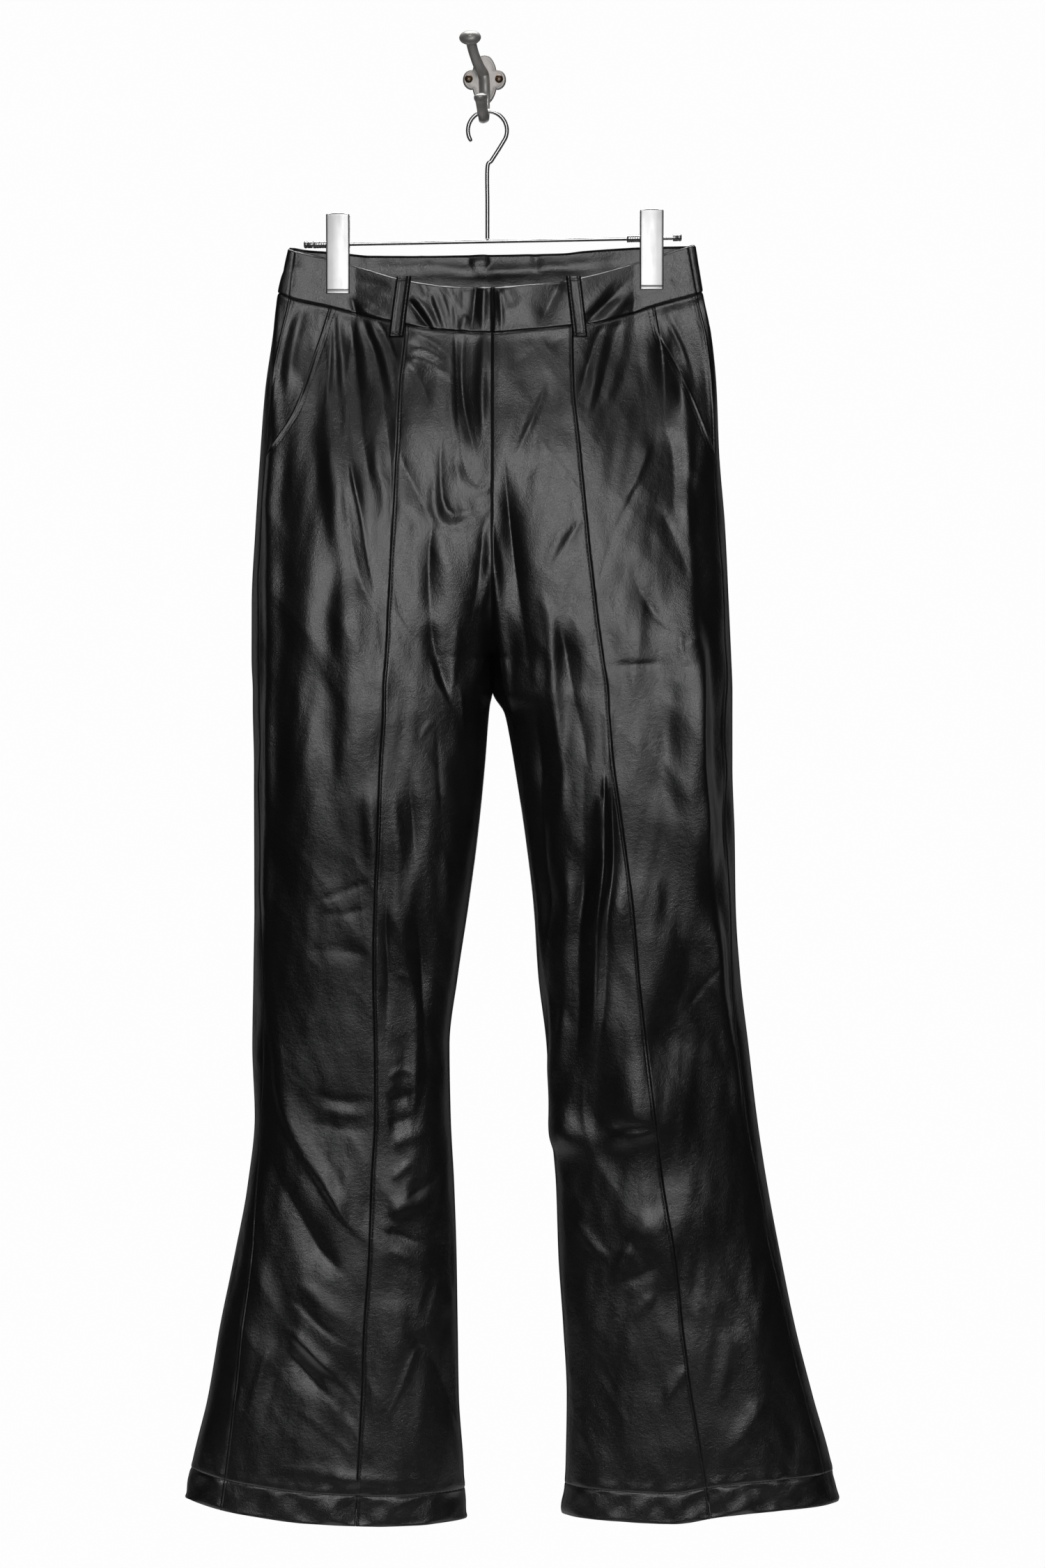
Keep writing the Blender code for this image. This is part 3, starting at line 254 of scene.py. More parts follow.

# ---------------------------------------------------------------------------------------------
# Folds, placed where the photograph shows them, in its 1500 x 2250 pixels: each runs from
# (x1, y1) through (x2, y2) to (x3, y3). Its width grows to spread times that at its end. Its sides
# are as steep as tilt, above 0 for a ridge and below for a trough, and lean makes the side at the
# picture's right wider where it runs down. The folds of the back are placed as seen through the
# front.

FOLD_NAMES = ("x1", "y1", "x2", "y2", "x3", "y3", "width", "spread", "tilt", "lean")
FRONT_FOLDS = (
    # right leg: pocket facing, and folds that fan out from the clip
    (444, 424, 420, 510, 403, 600, 8, 1.4, 0.3, 0),
    (474, 426, 466, 540, 461, 662, 9, 1.8, 0.3, 0),
    (486, 429, 494, 545, 506, 655, 8, 1.2, 0.3, 0),
    (474, 540, 481, 690, 498, 850, 20, 1.3, 0.26, 0.3),
    (505, 436, 518, 590, 536, 725, 9, 1.3, -0.3, 0),
    (512, 430, 533, 590, 551, 760, 9, 1.4, 0.3, 0),
    (516, 434, 546, 560, 563, 680, 8, 1.3, -0.32, 0),
    (523, 432, 549, 520, 567, 600, 7, 1.2, 0.28, 0),
    (532, 436, 556, 492, 574, 522, 5, 1.2, -0.25, 0),
    (497, 685, 510, 800, 550, 892, 10, 1.4, -0.32, 0),
    (560, 640, 560, 715, 562, 790, 7, 1, -0.2, 0),
    # right leg: outer stripe beside the outseam, and the long front fold
    (397, 414, 386, 900, 379, 1560, 9, 1.1, 0.5, 0.2),
    (446, 640, 442, 980, 436, 1400, 34, 1, 0.13, 0),
    (497, 800, 504, 970, 503, 1230, 40, 1, 0.16, 0.5),
    (528, 1100, 532, 1200, 537, 1300, 12, 1, 0.16, 0),
    # right leg: between the panel seam and the fly
    (580, 496, 618, 505, 649, 536, 6.9, 1, -0.24, 0),
    (580, 510, 612, 522, 656, 550, 8, 1, 0.2, 0),
    (584, 521, 604, 548, 625, 608, 9.2, 1.2, -0.19, 0),
    (574, 642, 592, 695, 627, 753, 12.6, 1, -0.17, 0),
    (622, 735, 616, 830, 626, 930, 9, 1.3, -0.26, 0),
    (618, 885, 630, 950, 652, 1022, 14, 0.7, -0.34, 0),
    (629, 738, 640, 800, 642, 869, 23, 1, 0.06, 0),
    (568, 557, 588, 600, 601, 645, 18.4, 1, 0.07, 0),
    # fly and centre front
    (662, 452, 664, 560, 684, 668, 13, 0.8, -0.4, 0),
    (696, 450, 692, 540, 690, 640, 8, 1, 0.34, 0),
    (645, 470, 648, 560, 650, 650, 8, 1, 0.18, 0),
    (636, 600, 641, 726, 718, 708, 10, 1, -0.45, 0),
    (650, 655, 674, 698, 712, 692, 8, 1, 0.34, 0),
    (624, 660, 636, 746, 712, 728, 9, 1, 0.24, 0),
    # right leg: inner thigh
    (704, 735, 699, 810, 690, 888, 8, 1, 0.36, 0),
    (691, 874, 690, 930, 674, 1020, 10.3, 1, 0.2, 0),
    (692, 748, 686, 830, 672, 900, 10, 1, -0.26, 0),
    (661, 878, 652, 940, 646, 1016, 6.9, 1, 0.16, 0),
    (630, 1040, 632, 1100, 634, 1190, 5, 1, -0.22, 0),
    (588, 1100, 598, 1290, 618, 1580, 17, 1.1, -0.38, 0),
    (566, 1130, 574, 1280, 584, 1415, 12, 1, 0.26, 0),
    (594, 1425, 598, 1510, 588, 1645, 10, 1, 0.3, 0),
    (556, 1260, 556, 1400, 553, 1530, 9, 1, -0.26, 0),
    (639, 1217, 648, 1290, 650, 1368, 10.3, 1, 0.16, 0),
    # right leg: knee
    (442, 1369, 480, 1362, 532, 1373, 17.2, 1, -0.15, 0),
    (449, 1569, 490, 1580, 542, 1574, 10.3, 1, -0.14, 0),
    (450, 1594, 495, 1598, 541, 1594, 8, 1, 0.11, 0),
    (440, 1611, 490, 1621, 544, 1615, 8, 1, -0.13, 0),
    (549, 1567, 575, 1576, 602, 1558, 10.3, 1, -0.14, 0),
    (549, 1613, 575, 1611, 603, 1599, 8, 1, -0.12, 0),
    (559, 1649, 585, 1634, 615, 1628, 10.3, 1, 0.13, 0),
    (558, 1694, 580, 1677, 599, 1667, 6.9, 1, 0.15, 0),
    (582, 1718, 612, 1705, 646, 1660, 9.2, 1, -0.17, 0),
    (551, 1747, 588, 1728, 626, 1721, 14.9, 1, 0.14, 0),
    (544, 1767, 580, 1778, 623, 1793, 8, 1, -0.21, 0),
    (554, 1791, 590, 1808, 626, 1815, 9.2, 1, 0.14, 0),
    # right leg: long diagonal of the calf and the folds above the hem
    (384, 1425, 428, 1640, 548, 1798, 12, 1, 0.32, 0.3),
    (386, 1640, 440, 1765, 548, 1892, 20, 1, -0.2, -0.3),
    (415, 1833, 465, 1875, 532, 1917, 12, 1, 0.24, 0),
    (402, 1906, 450, 1945, 531, 2023, 9, 1, 0.34, 0.2),
    (405, 1930, 450, 1985, 531, 2054, 12, 1, -0.32, 0),
    (415, 2016, 465, 2052, 512, 2099, 6.9, 1, 0.15, 0),
    (396, 1914, 371, 1985, 346, 2056, 6.9, 1, 0.24, 0),
    (406, 1937, 387, 2010, 365, 2070, 11.5, 1, -0.16, 0),
    (348, 1977, 340, 2020, 334, 2065, 5, 1, 0.2, 0),
    (659, 1838, 625, 1888, 591, 1917, 16.1, 1, 0.14, 0),
    (578, 1920, 626, 1962, 669, 2088, 12, 1, -0.34, 0),
    (385, 2105, 520, 2121, 656, 2124, 10, 1, 0.2, 0),
    # left leg: beside the fly and down the inner thigh
    (724, 640, 742, 820, 768, 1020, 18, 1.1, -0.34, 0),
    (766, 990, 780, 1200, 787, 1420, 16, 1, -0.32, 0),
    (707, 770, 716, 885, 742, 1115, 9, 1, 0.41, 0),
    (741, 1070, 764, 1250, 788, 1470, 7, 1, 0.38, 0),
    (784, 1400, 794, 1500, 797, 1610, 6, 1, 0.35, 0),
    (775, 845, 792, 955, 803, 1125, 11, 1, 0.34, 0),
    (803, 1075, 812, 1280, 806, 1490, 12, 1, 0.38, 0),
    (807, 1440, 803, 1520, 794, 1600, 10, 1, 0.3, 0),
    (798, 880, 822, 990, 847, 1120, 16, 1, -0.3, 0),
    (839, 1095, 836, 1300, 825, 1560, 11, 1, -0.32, 0),
    (867, 998, 873, 1060, 876, 1122, 8, 1, 0.14, 0),
    (778, 552, 752, 608, 724, 664, 9.2, 1, -0.09, 0),
    (730, 530, 755, 511, 776, 500, 6.9, 1, -0.16, 0),
    (788, 499, 798, 490, 816, 475, 6.9, 1, -0.19, 0),
    (789, 642, 768, 672, 738, 706, 5, 1, -0.12, 0),
    (840, 739, 812, 775, 775, 848, 9.2, 1, -0.16, 0),
    (829, 739, 801, 775, 774, 823, 9.2, 1, 0.1, 0),
    # left leg: folds that fan out from the loop and the clip
    (884, 433, 847, 515, 823, 572, 11.5, 1, -0.29, 0),
    (884, 440, 856, 530, 840, 602, 8, 1.2, 0.2, 0),
    (900, 429, 872, 530, 848, 602, 6.9, 1.2, -0.19, 0),
    (905, 430, 885, 520, 869, 587, 8, 1.2, 0.19, 0),
    (910, 481, 893, 545, 875, 603, 8, 1, -0.15, 0),
    (927, 473, 915, 540, 903, 612, 18.4, 1, 0.09, 0),
    (939, 440, 954, 540, 956, 625, 10, 1, -0.45, 0),
    (956, 600, 968, 670, 965, 745, 14, 1, -0.2, 0),
    (967, 515, 986, 600, 986, 712, 12, 0.8, 0.36, 0),
    (985, 680, 990, 770, 996, 855, 9, 1, 0.32, 0),
    (948, 728, 970, 775, 989, 840, 10.3, 1, -0.15, 0),
    (910, 788, 922, 856, 974, 910, 13.8, 1, -0.22, 0),
    (949, 428, 985, 500, 1005, 569, 5, 1.2, -0.19, 0),
    # left leg: flat front that ends in a pressed edge
    (985, 790, 1005, 1110, 1036, 1500, 30, 0.9, 0.38, -0.4),
    (1040, 940, 1046, 1150, 1056, 1400, 20, 1, -0.3, 0),
    (1023, 1250, 1042, 1440, 1084, 1700, 10, 1, 0.36, -0.3),
    # left leg: pointed fold over the knee and the flat below it
    (861, 1130, 864, 1220, 855, 1350, 10, 1, 0.3, 0),
    (881, 1110, 875, 1290, 855, 1575, 11, 1, -0.4, 0),
    (730, 1622, 860, 1616, 990, 1604, 56, 1, 0.13, 0.5),
    (896, 1150, 951, 1640, 1022, 2130, 58, 1, 0.16, -0.2),
    (868, 1200, 862, 1400, 852, 1590, 34, 1, 0.13, 0.4),
    # left leg: calf and hem
    (820, 1741, 850, 1790, 877, 1802, 9.2, 1, 0.2, 0),
    (908, 1785, 889, 1815, 871, 1858, 11.5, 1, 0.19, 0),
    (966, 1740, 926, 1765, 897, 1795, 18.4, 1, 0.12, 0),
    (873, 1832, 920, 1831, 972, 1787, 13.8, 1, -0.15, 0),
    (949, 1858, 920, 1880, 889, 1921, 9.2, 1, 0.16, 0),
    (987, 1954, 968, 1990, 944, 2036, 8, 1, 0.24, 0),
    (1105, 1997, 1070, 2050, 1030, 2107, 16.1, 1, 0.2, 0),
    (1109, 2013, 1120, 2060, 1132, 2101, 11.5, 1, 0.14, 0),
    (1062, 1892, 1050, 1950, 1026, 2022, 13.8, 1, 0.11, 0),
    (826, 2044, 845, 2080, 858, 2111, 6.9, 1, 0.15, 0),
)
FRONT_LINES = (
    # right leg
    (505, 640, 519, 745, 544, 866, 5, 1, 0.5, 0.3),
    (583, 484, 616, 490, 653, 524, 4, 1, 0.32, 0),
    (567, 848, 576, 888, 610, 918, 3.5, 1, 0.34, -0.3),
    (620, 943, 631, 985, 647, 1014, 3.5, 1, 0.26, 0),
    (660, 983, 666, 1030, 673, 1080, 3.5, 1, 0.26, 0),
    (604, 1063, 615, 1048, 628, 1032, 3.5, 1, 0.22, 0),
    (449, 1293, 492, 1282, 538, 1264, 5, 1, -0.26, 0),
    (454, 1314, 495, 1311, 534, 1301, 6, 1, -0.24, 0),
    (555, 1549, 575, 1536, 599, 1546, 4, 1, 0.26, 0),
    (564, 1405, 582, 1405, 596, 1428, 5, 1, 0.22, 0),
    (402, 1849, 446, 1891, 533, 1953, 4.5, 1, -0.42, 0.2),
    (601, 1934, 578, 1980, 552, 2052, 5, 1, 0.32, 0),
    (622, 1813, 606, 1860, 593, 1907, 3.5, 1, 0.22, 0),
    (641, 1818, 623, 1862, 611, 1907, 3.5, 1, 0.21, 0),
    (479, 456, 471, 535, 463, 602, 5, 1, 0.26, 0),
    # left leg
    (787, 546, 765, 600, 736, 664, 4.5, 1, 0.32, 0.3),
    (765, 614, 797, 660, 852, 732, 4, 1, 0.2, 0),
    (942, 620, 916, 680, 892, 738, 4.5, 1, 0.26, 0),
    (919, 688, 889, 755, 855, 841, 6, 1, -0.4, 0.2),
    (979, 901, 975, 928, 977, 955, 4.5, 1, 0.34, 0),
    (871, 951, 918, 956, 962, 949, 5, 1, -0.32, 0),
    (1003, 906, 992, 920, 981, 936, 5, 1, 0.22, 0),
    (990, 953, 978, 968, 967, 986, 6, 1, -0.21, 0),
    (1015, 915, 1003, 1060, 1024, 1330, 8, 0.8, 0.36, -0.3),
    (871, 1095, 864, 1280, 842, 1560, 5, 1, 0.5, -0.5),
    (842, 1535, 836, 1600, 850, 1655, 5, 1, 0.29, 0),
    (857, 1622, 898, 1617, 943, 1613, 9, 1, -0.3, 0),
    (1039, 1372, 1004, 1425, 968, 1470, 4, 1, -0.16, 0),
    (852, 1928, 870, 1965, 895, 2004, 3.5, 1, 0.2, 0),
    (953, 456, 973, 488, 991, 532, 4, 1, 0.26, 0),
    (868, 1095, 871, 1170, 872, 1245, 3.5, 1, 0.26, 0),
)
BACK_FOLDS = (
    # seat: folds that fan out from the clips
    (484, 430, 500, 580, 548, 770, 14, 1.3, 0.24, 0.2),
    (463, 430, 437, 600, 419, 800, 14, 1.2, 0.2, 0),
    (502, 440, 536, 550, 580, 670, 11, 1.3, 0.2, 0),
    (490, 470, 481, 650, 488, 820, 14, 1.2, -0.2, 0),
    (520, 445, 560, 520, 618, 590, 9, 1.3, -0.2, 0),
    (935, 430, 910, 582, 856, 772, 14, 1.3, 0.24, 0.2),
    (955, 430, 986, 600, 1000, 800, 14, 1.2, 0.2, 0),
    (917, 440, 880, 550, 835, 668, 11, 1.3, 0.2, 0),
    (930, 470, 938, 650, 931, 822, 14, 1.2, -0.2, 0),
    (900, 445, 862, 520, 800, 592, 9, 1.3, -0.2, 0),
    (660, 470, 668, 560, 690, 690, 10, 1.3, 0.16, 0),
    (748, 468, 742, 560, 722, 690, 10, 1.3, 0.16, 0),
    # under the seat
    (642, 840, 556, 908, 436, 1045, 19, 1, -0.28, 0),
    (648, 890, 573, 962, 488, 1098, 14, 1, 0.22, 0),
    (590, 800, 520, 842, 430, 880, 12, 1, 0.16, 0),
    (763, 840, 852, 918, 969, 1064, 19, 1, -0.28, 0),
    (760, 890, 838, 970, 918, 1116, 14, 1, 0.22, 0),
    (810, 800, 880, 842, 975, 880, 12, 1, 0.16, 0),
    (640, 960, 618, 1060, 606, 1190, 12, 1, -0.2, 0),
    (770, 960, 806, 1060, 826, 1190, 12, 1, -0.2, 0),
    # behind the knees
    (420, 1290, 505, 1316, 575, 1300, 12, 1, 0.18, 0),
    (420, 1356, 505, 1400, 590, 1374, 15, 1, 0.24, 0),
    (435, 1460, 508, 1512, 608, 1480, 15, 1, -0.26, 0),
    (450, 1560, 520, 1590, 600, 1568, 11, 1, 0.18, 0),
    (850, 1284, 930, 1316, 1004, 1296, 12, 1, 0.18, 0),
    (828, 1350, 918, 1394, 1020, 1370, 15, 1, 0.24, 0),
    (840, 1464, 935, 1520, 1038, 1486, 15, 1, -0.26, 0),
    (860, 1560, 940, 1592, 1030, 1566, 11, 1, 0.18, 0),
    # calves and hem
    (419, 1630, 453, 1803, 488, 2010, 19, 1, 0.24, 0),
    (556, 1683, 570, 1870, 590, 2110, 20, 1, 0.18, 0),
    (436, 1906, 402, 2010, 368, 2130, 17, 1, -0.2, 0),
    (500, 1850, 520, 1960, 540, 2080, 12, 1, -0.16, 0),
    (1038, 1630, 1020, 1820, 1007, 2027, 19, 1, 0.24, 0),
    (883, 1683, 893, 1872, 900, 2110, 20, 1, 0.18, 0),
    (1072, 1906, 1103, 2010, 1124, 2130, 17, 1, -0.2, 0),
    (960, 1850, 950, 1960, 940, 2080, 12, 1, -0.16, 0),
)
BAND_FOLDS = (
    # right front: folds round the clip
    (412, 376, 413, 405, 411, 435, 10, 1, 0.29, 0),
    (409, 378, 422, 380, 439, 380, 5, 1, -0.29, 0),
    (494, 394, 530, 404, 568, 415, 7.5, 1, -0.31, 0),
    (497, 383, 532, 393, 575, 403, 6.2, 1, 0.27, 0),
    (500, 400, 535, 416, 567, 429, 7.5, 1, 0.19, 0),
    (506, 417, 511, 437, 518, 456, 5, 1, -0.42, 0),
    (514, 432, 536, 450, 565, 467, 7.5, 1, 0.27, 0),
    # right front: puckers between the loop and the fly
    (586, 429, 603, 453, 623, 482, 7.5, 1, -0.51, 0),
    (594, 424, 612, 450, 626, 479, 6.2, 1, 0.36, 0),
    (604, 401, 612, 415, 616, 438, 6.2, 1, 0.29, 0),
    (616, 418, 623, 446, 634, 480, 4.4, 1, -0.31, 0),
    (621, 415, 631, 449, 639, 481, 4.4, 1, 0.32, 0),
    (627, 406, 638, 438, 642, 462, 4.4, 1, -0.27, 0),
    (637, 419, 644, 448, 644, 483, 3.8, 1, 0.29, 0),
    (639, 405, 646, 424, 653, 447, 4.4, 1, 0.27, 0),
    (649, 434, 651, 458, 655, 481, 3.8, 1, -0.32, 0),
    (660, 407, 661, 430, 657, 456, 6.2, 1, -0.26, 0),
    (665, 450, 661, 464, 656, 481, 5, 1, 0.31, 0),
    (682, 399, 676, 440, 671, 488, 8.8, 1, -0.39, 0),
    (694, 404, 690, 440, 692, 483, 7.5, 1, 0.36, 0),
    # left front: beside the fly and the loop
    (707, 404, 709, 442, 708, 483, 5, 1, -0.27, 0),
    (714, 412, 720, 447, 721, 484, 3.8, 1, 0.36, 0),
    (720, 408, 731, 430, 738, 447, 10, 1, 0.17, 0),
    (809, 397, 791, 435, 771, 475, 20, 1, -0.19, 0),
    (833, 474, 868, 437, 927, 382, 11.2, 1, -0.42, 0),
    (855, 475, 881, 445, 913, 414, 10, 1, 0.27, 0),
    (834, 454, 856, 428, 887, 396, 8.8, 1, 0.24, 0),
    # left front: folds round the clip
    (907, 412, 912, 435, 902, 458, 6.2, 1, -0.19, 0),
    (950, 402, 968, 414, 974, 437, 5, 1, -0.31, 0),
    (949, 409, 962, 421, 968, 440, 3.8, 1, 0.29, 0),
    (950, 369, 962, 383, 981, 394, 5, 1, 0.32, 0),
    (949, 380, 968, 393, 992, 404, 6.2, 1, -0.42, 0),
    (950, 392, 970, 403, 994, 414, 6.2, 1, 0.32, 0),
)
BAND_BACK_FOLDS = (
    # the inside, seen over the front
    (362, 387, 560, 394, 800, 389, 15, 1, -0.26, 0),
    (510, 382, 600, 384, 720, 388, 10, 1, -0.26, 0),
    (426, 370, 450, 380, 464, 394, 7.5, 1, 0.17, 0),
    (518, 364, 528, 378, 523, 395, 7.5, 1, 0.17, 0),
    (598, 363, 612, 380, 622, 402, 7.5, 1, -0.17, 0),
    (668, 381, 690, 376, 708, 381, 10, 1, -0.26, 0),
    (680, 393, 800, 388, 956, 376, 15, 1, -0.22, 0),
    (806, 379, 860, 377, 926, 370, 8.8, 1, -0.22, 0),
    (760, 363, 770, 380, 763, 399, 7.5, 1, 0.17, 0),
)
FOLD_STEPS = 10  # straight steps along a fold's path
FOLD_REACH = 3.2  # how many widths away a fold still counts
FOLD_GROWS = 0.30  # share of its run in which it grows
FOLD_FADES = 0.42  # share of its run in which it fades
FOLD_THIN = 0.45  # width at the very ends, as a share
STEEPEST = math.sqrt(2 / math.e)  # slope of exp(-t^2) where it is steepest
ROUND = 2.0  # exponents of a fold's profile
SHARP = 1.5
CREASED = 1.25
CALF_Z = -0.92  # below here the front's folds are flatter
CALF_SHARE = 0.32
BAND_BACK_SHARE = 1.15  # the inner band's folds, over the sizes in their table

# Waves that make folds uneven and bend their run: seed, wave lengths in pixels, size
WANDER_WAVES = 6
UNEVEN = (5, 60, 190, 1.1)
BEND_X = (6, 70, 240, 6.0)
BEND_Y = (7, 70, 240, 6.0)

# Ripples: seed, count, shortest and longest wave, how much longer down the cloth, height
RIPPLE_LEAN = 0.9
FRONT_SWELL = (11, 14, 0.030, 0.075, 2.2, 0.36 * MM)
FRONT_RIPPLE = (12, 12, 0.011, 0.024, 2.6, 0.125 * MM)
BACK_SWELL = (21, 14, 0.030, 0.075, 2.2, 0.42 * MM)
BAND_FRONT_RIPPLE = (41, 12, 0.014, 0.040, 1.0, 0.16 * MM)
BAND_BACK_RIPPLE = (42, 12, 0.014, 0.040, 1.0, 0.16 * MM)
HEM_CRUSH = (61, 12, 0.018, 0.060, 0.8, 0.7 * MM)
HEM_PUCKERS = (67, 12, 0.010, 0.035, 0.8, 0.5)

# Crossing creases: seed, count, shortest and longest wave, height
CRUMPLE_LEAN = 1.2
CRUMPLE_PATCH = (0.021, 0.034)  # size of the patches that have them, across and down
FRONT_CRUMPLE = (13, 9, 0.030, 0.080, 0.55 * MM)
BACK_CRUMPLE = (22, 9, 0.030, 0.080, 0.45 * MM)

# Stitch rows and seams
STITCH_STEP = 3.0 * MM
STITCH_LENGTH = 2.3 * MM
STITCH_RADIUS = 0.24 * MM
EDGE_STITCH = 2.4 * MM  # a seam's edge stitching, from the seam
MOUTH_STITCH = 6.0 * MM
HEM_STITCH = 25 * MM
BAND_STITCH = 1.6 * MM
TACK_DROP = 6 * MM  # the pocket's bar tack, under the waist seam
TACK_WIDTH = 8 * MM
POCKET_UNDER = 8 * MM  # how far the facing goes on under the pocket's mouth
LEG_LENGTH = 1.005  # waist seam to hem, to turn a distance into a share of a column
LEGS_LAP = 0.2 * MM  # the legs' overlap under the crotch, so that no light shows through
SHELL_GAP = 0.03 * MM  # between pieces that a seam joins
BAND_LAP = {RIGHT: 0.9 * MM, LEFT: -0.7 * MM}  # the band's ends at the fly
SIDE_BLEND = 0.30  # turn within which front heights pass into back heights
TINY = 1e-12  # keeps a division by a length from failing

# Steps of the grids: the tables that place their columns, then each piece's rows and its steps
# from column to column. Rows are odd and steps even, because the inner face keeps half of them.
TABLE_Z = (-0.135, -1.240)
TABLE_LEVELS = 500
TABLE_TURNS = 200
SMALL_TURN = 0.002
LEG_ROWS = 421
EDGE_ROWS = (0.0010, 0.0030)  # shares of the leg, for the turned edges
STITCH_ROWS = np.linspace(-1.75, 1.75, 8) * MM  # rows beside the hem's stitching
POCKET_STEPS = (91, 36)
FLY_STEPS = (51, 16)
BAND_STEPS = (61, 170)
BAND_COLUMN = 80  # where the band's stitched row is measured


def columns(names, rows):
    """A table as one array for each named column."""
    return dict(zip(names, np.array(rows, dtype=float).T))


LEVELS = {side: columns(LEVEL_NAMES, rows) for side, rows in LEVEL_ROWS.items()}
HEMS = {side: columns(HEM_NAMES, rows) for side, rows in HEM_ROWS.items()}
POCKETS = {side: columns(LINE_NAMES, rows) for side, rows in POCKET_ROWS.items()}
FLY = columns(LINE_NAMES, FLY_ROWS)
DEPTHS = columns(DEPTH_NAMES, DEPTH_ROWS)
PAST = columns(PAST_NAMES, PAST_ROWS)
WAIST = columns(WAIST_NAMES, WAIST_ROWS)
CLIPS = columns(CLIP_NAMES, CLIP_ROWS)


# ---------------------------------------------------------------------------------------------
# The form
# ---------------------------------------------------------------------------------------------


def smooth(at, knots, values):
    """Cubic through the knots that never overshoots them: each slope is the harmonic mean."""
    order = np.argsort(knots)
    knots = np.asarray(knots, dtype=float)[order]
    values = np.asarray(values, dtype=float)[order]
    step = np.diff(knots)
    rise = np.diff(values) / step
    slope = np.zeros_like(values)
    both = rise[1:] * rise[:-1]
    total = np.where(both > 0, rise[1:] + rise[:-1], 1.0)
    slope[1:-1] = np.where(both > 0, 2 * both / total, 0.0)
    slope[0] = rise[0]
    slope[-1] = rise[-1]
    at = np.clip(at, knots[0], knots[-1])
    i = np.clip(np.searchsorted(knots, at) - 1, 0, len(step) - 1)
    t = (at - knots[i]) / step[i]
    start = values[i] * (1 + 2 * t) * (1 - t) ** 2 + slope[i] * step[i] * t * (1 - t) ** 2
    end = values[i + 1] * t * t * (3 - 2 * t) + slope[i + 1] * step[i] * t * t * (t - 1)
    return start + end


def ramp(value):
    """0 below 0, 1 above 1, and 3t^2 - 2t^3 between."""
    value = np.clip(value, 0.0, 1.0)
    return value * value * (3 - 2 * value)


def bell(value):
    """exp(-v^2): 1 in the middle, about 0 past 2."""
    return np.exp(-value * value)


def power(value, exponent):
    """A power that keeps the sign."""
    return np.sign(value) * np.abs(value) ** exponent


def reach(side, z):
    """A level curve's centre and half width, counted outwards from the middle plane."""
    level = LEVELS[side]
    outer = side * (smooth(z, level["z"], level["outer"]) - MIDDLE_X)
    inner = side * (smooth(z, level["z"], level["inner"]) - MIDDLE_X)
    past = smooth(z, PAST["z"], PAST["share"])
    tiny = 0.02 * MM
    inner = np.where(z > CROTCH_Z, tiny - past * outer, np.maximum(inner, tiny))
    return (outer + inner) / 2, (outer - inner) / 2


def turn_at(side, x, z):
    """The turn at which a leg's front passes x: 0 at the outer edge, pi at the inner edge."""
    centre, half = reach(side, z)
    share = np.clip((side * (x - MIDDLE_X) - centre) / half, -1.0, 1.0)
    return np.arccos(power(share, smooth(z, DEPTHS["z"], DEPTHS["squareness"]) / 2))


def grip(x, z):
    """1 where a clip presses front and back together, fading down and to the sides."""
    spread = smooth(z, *np.array(GRIP_SPREAD).T)
    fade = smooth(z, *np.array(GRIP_FADE).T)
    past = [(np.abs(x - clip_x) - GRIP_FLAT * fade) / spread for clip_x in CLIPS["x"]]
    return fade * sum((1 - np.clip(t, 0, 1)) ** GRIP_POWER for t in past)


def base_point(side, turn, z):
    """Superellipse: x = c + a sgn(cos t)|cos t|^(2/n), y = m - d sgn(sin t)|sin t|^(2/n), where
    the depth d gives way to half the gripped thickness under a clip.
    """
    centre, half = reach(side, z)
    middle_y = smooth(z, DEPTHS["z"], DEPTHS["middle_y"])
    squareness = smooth(z, DEPTHS["z"], DEPTHS["squareness"])
    front = smooth(z, DEPTHS["z"], DEPTHS["front"])
    back = smooth(z, DEPTHS["z"], DEPTHS["back"])
    x = MIDDLE_X + side * (centre + half * power(np.cos(turn), 2 / squareness))
    swell = power(np.sin(turn), 2 / squareness)
    press = grip(x, z)
    depth = np.where(swell > 0, front, back) * swell * (1 - press)
    depth = depth + np.sign(swell) * GRIP_HALF * press
    return np.stack([x, middle_y - depth, z + 0 * x], axis=-1)


def seams(side):
    """The turn of each seam line of one leg, as functions of height."""
    level = LEVELS[side]
    pocket = POCKETS[side]

    def outseam(z):
        return turn_at(side, smooth(z, level["z"], level["outseam"]), z)

    def panel_seam(z):
        return turn_at(side, smooth(z, level["z"], level["panel_seam"]), z)

    def middle(z):
        return np.where(z > CROTCH_Z, turn_at(side, MIDDLE_X + 0 * z, z), math.pi)

    def mouth(z):
        slant = turn_at(side, smooth(z, pocket["z"], pocket["x"]), z)
        return np.where(z > POCKET_END_Z, np.maximum(slant, outseam(z)), outseam(z))

    def under_mouth(z):
        hidden = turn_at(side, smooth(z, pocket["z"], pocket["x"]) - side * POCKET_UNDER, z)
        return np.maximum(hidden, outseam(z) + 0.01)

    def centre_back(z):
        return -middle(z)

    return {
        "outseam": outseam,
        "mouth": mouth,
        "under_mouth": under_mouth,
        "panel_seam": panel_seam,
        "middle": middle,
        "centre_back": centre_back,
    }


def fly_x(z):
    """Where the fly's curved stitching runs."""
    return smooth(z, FLY["z"], FLY["x"])


def round_the_side(front, back, turn):
    """Passes from the front's height to the back's round the outer side, where the turn is 0."""
    share = ramp((SIDE_BLEND - turn) / (2 * SIDE_BLEND))
    return front * (1 - share) + back * share


def waist_seam(x, turn):
    """Height of the panels' top edge."""
    back = smooth(x, WAIST["x"], WAIST["back_top"]) - BAND_DEPTH
    return round_the_side(smooth(x, WAIST["x"], WAIST["seam"]), back, turn)


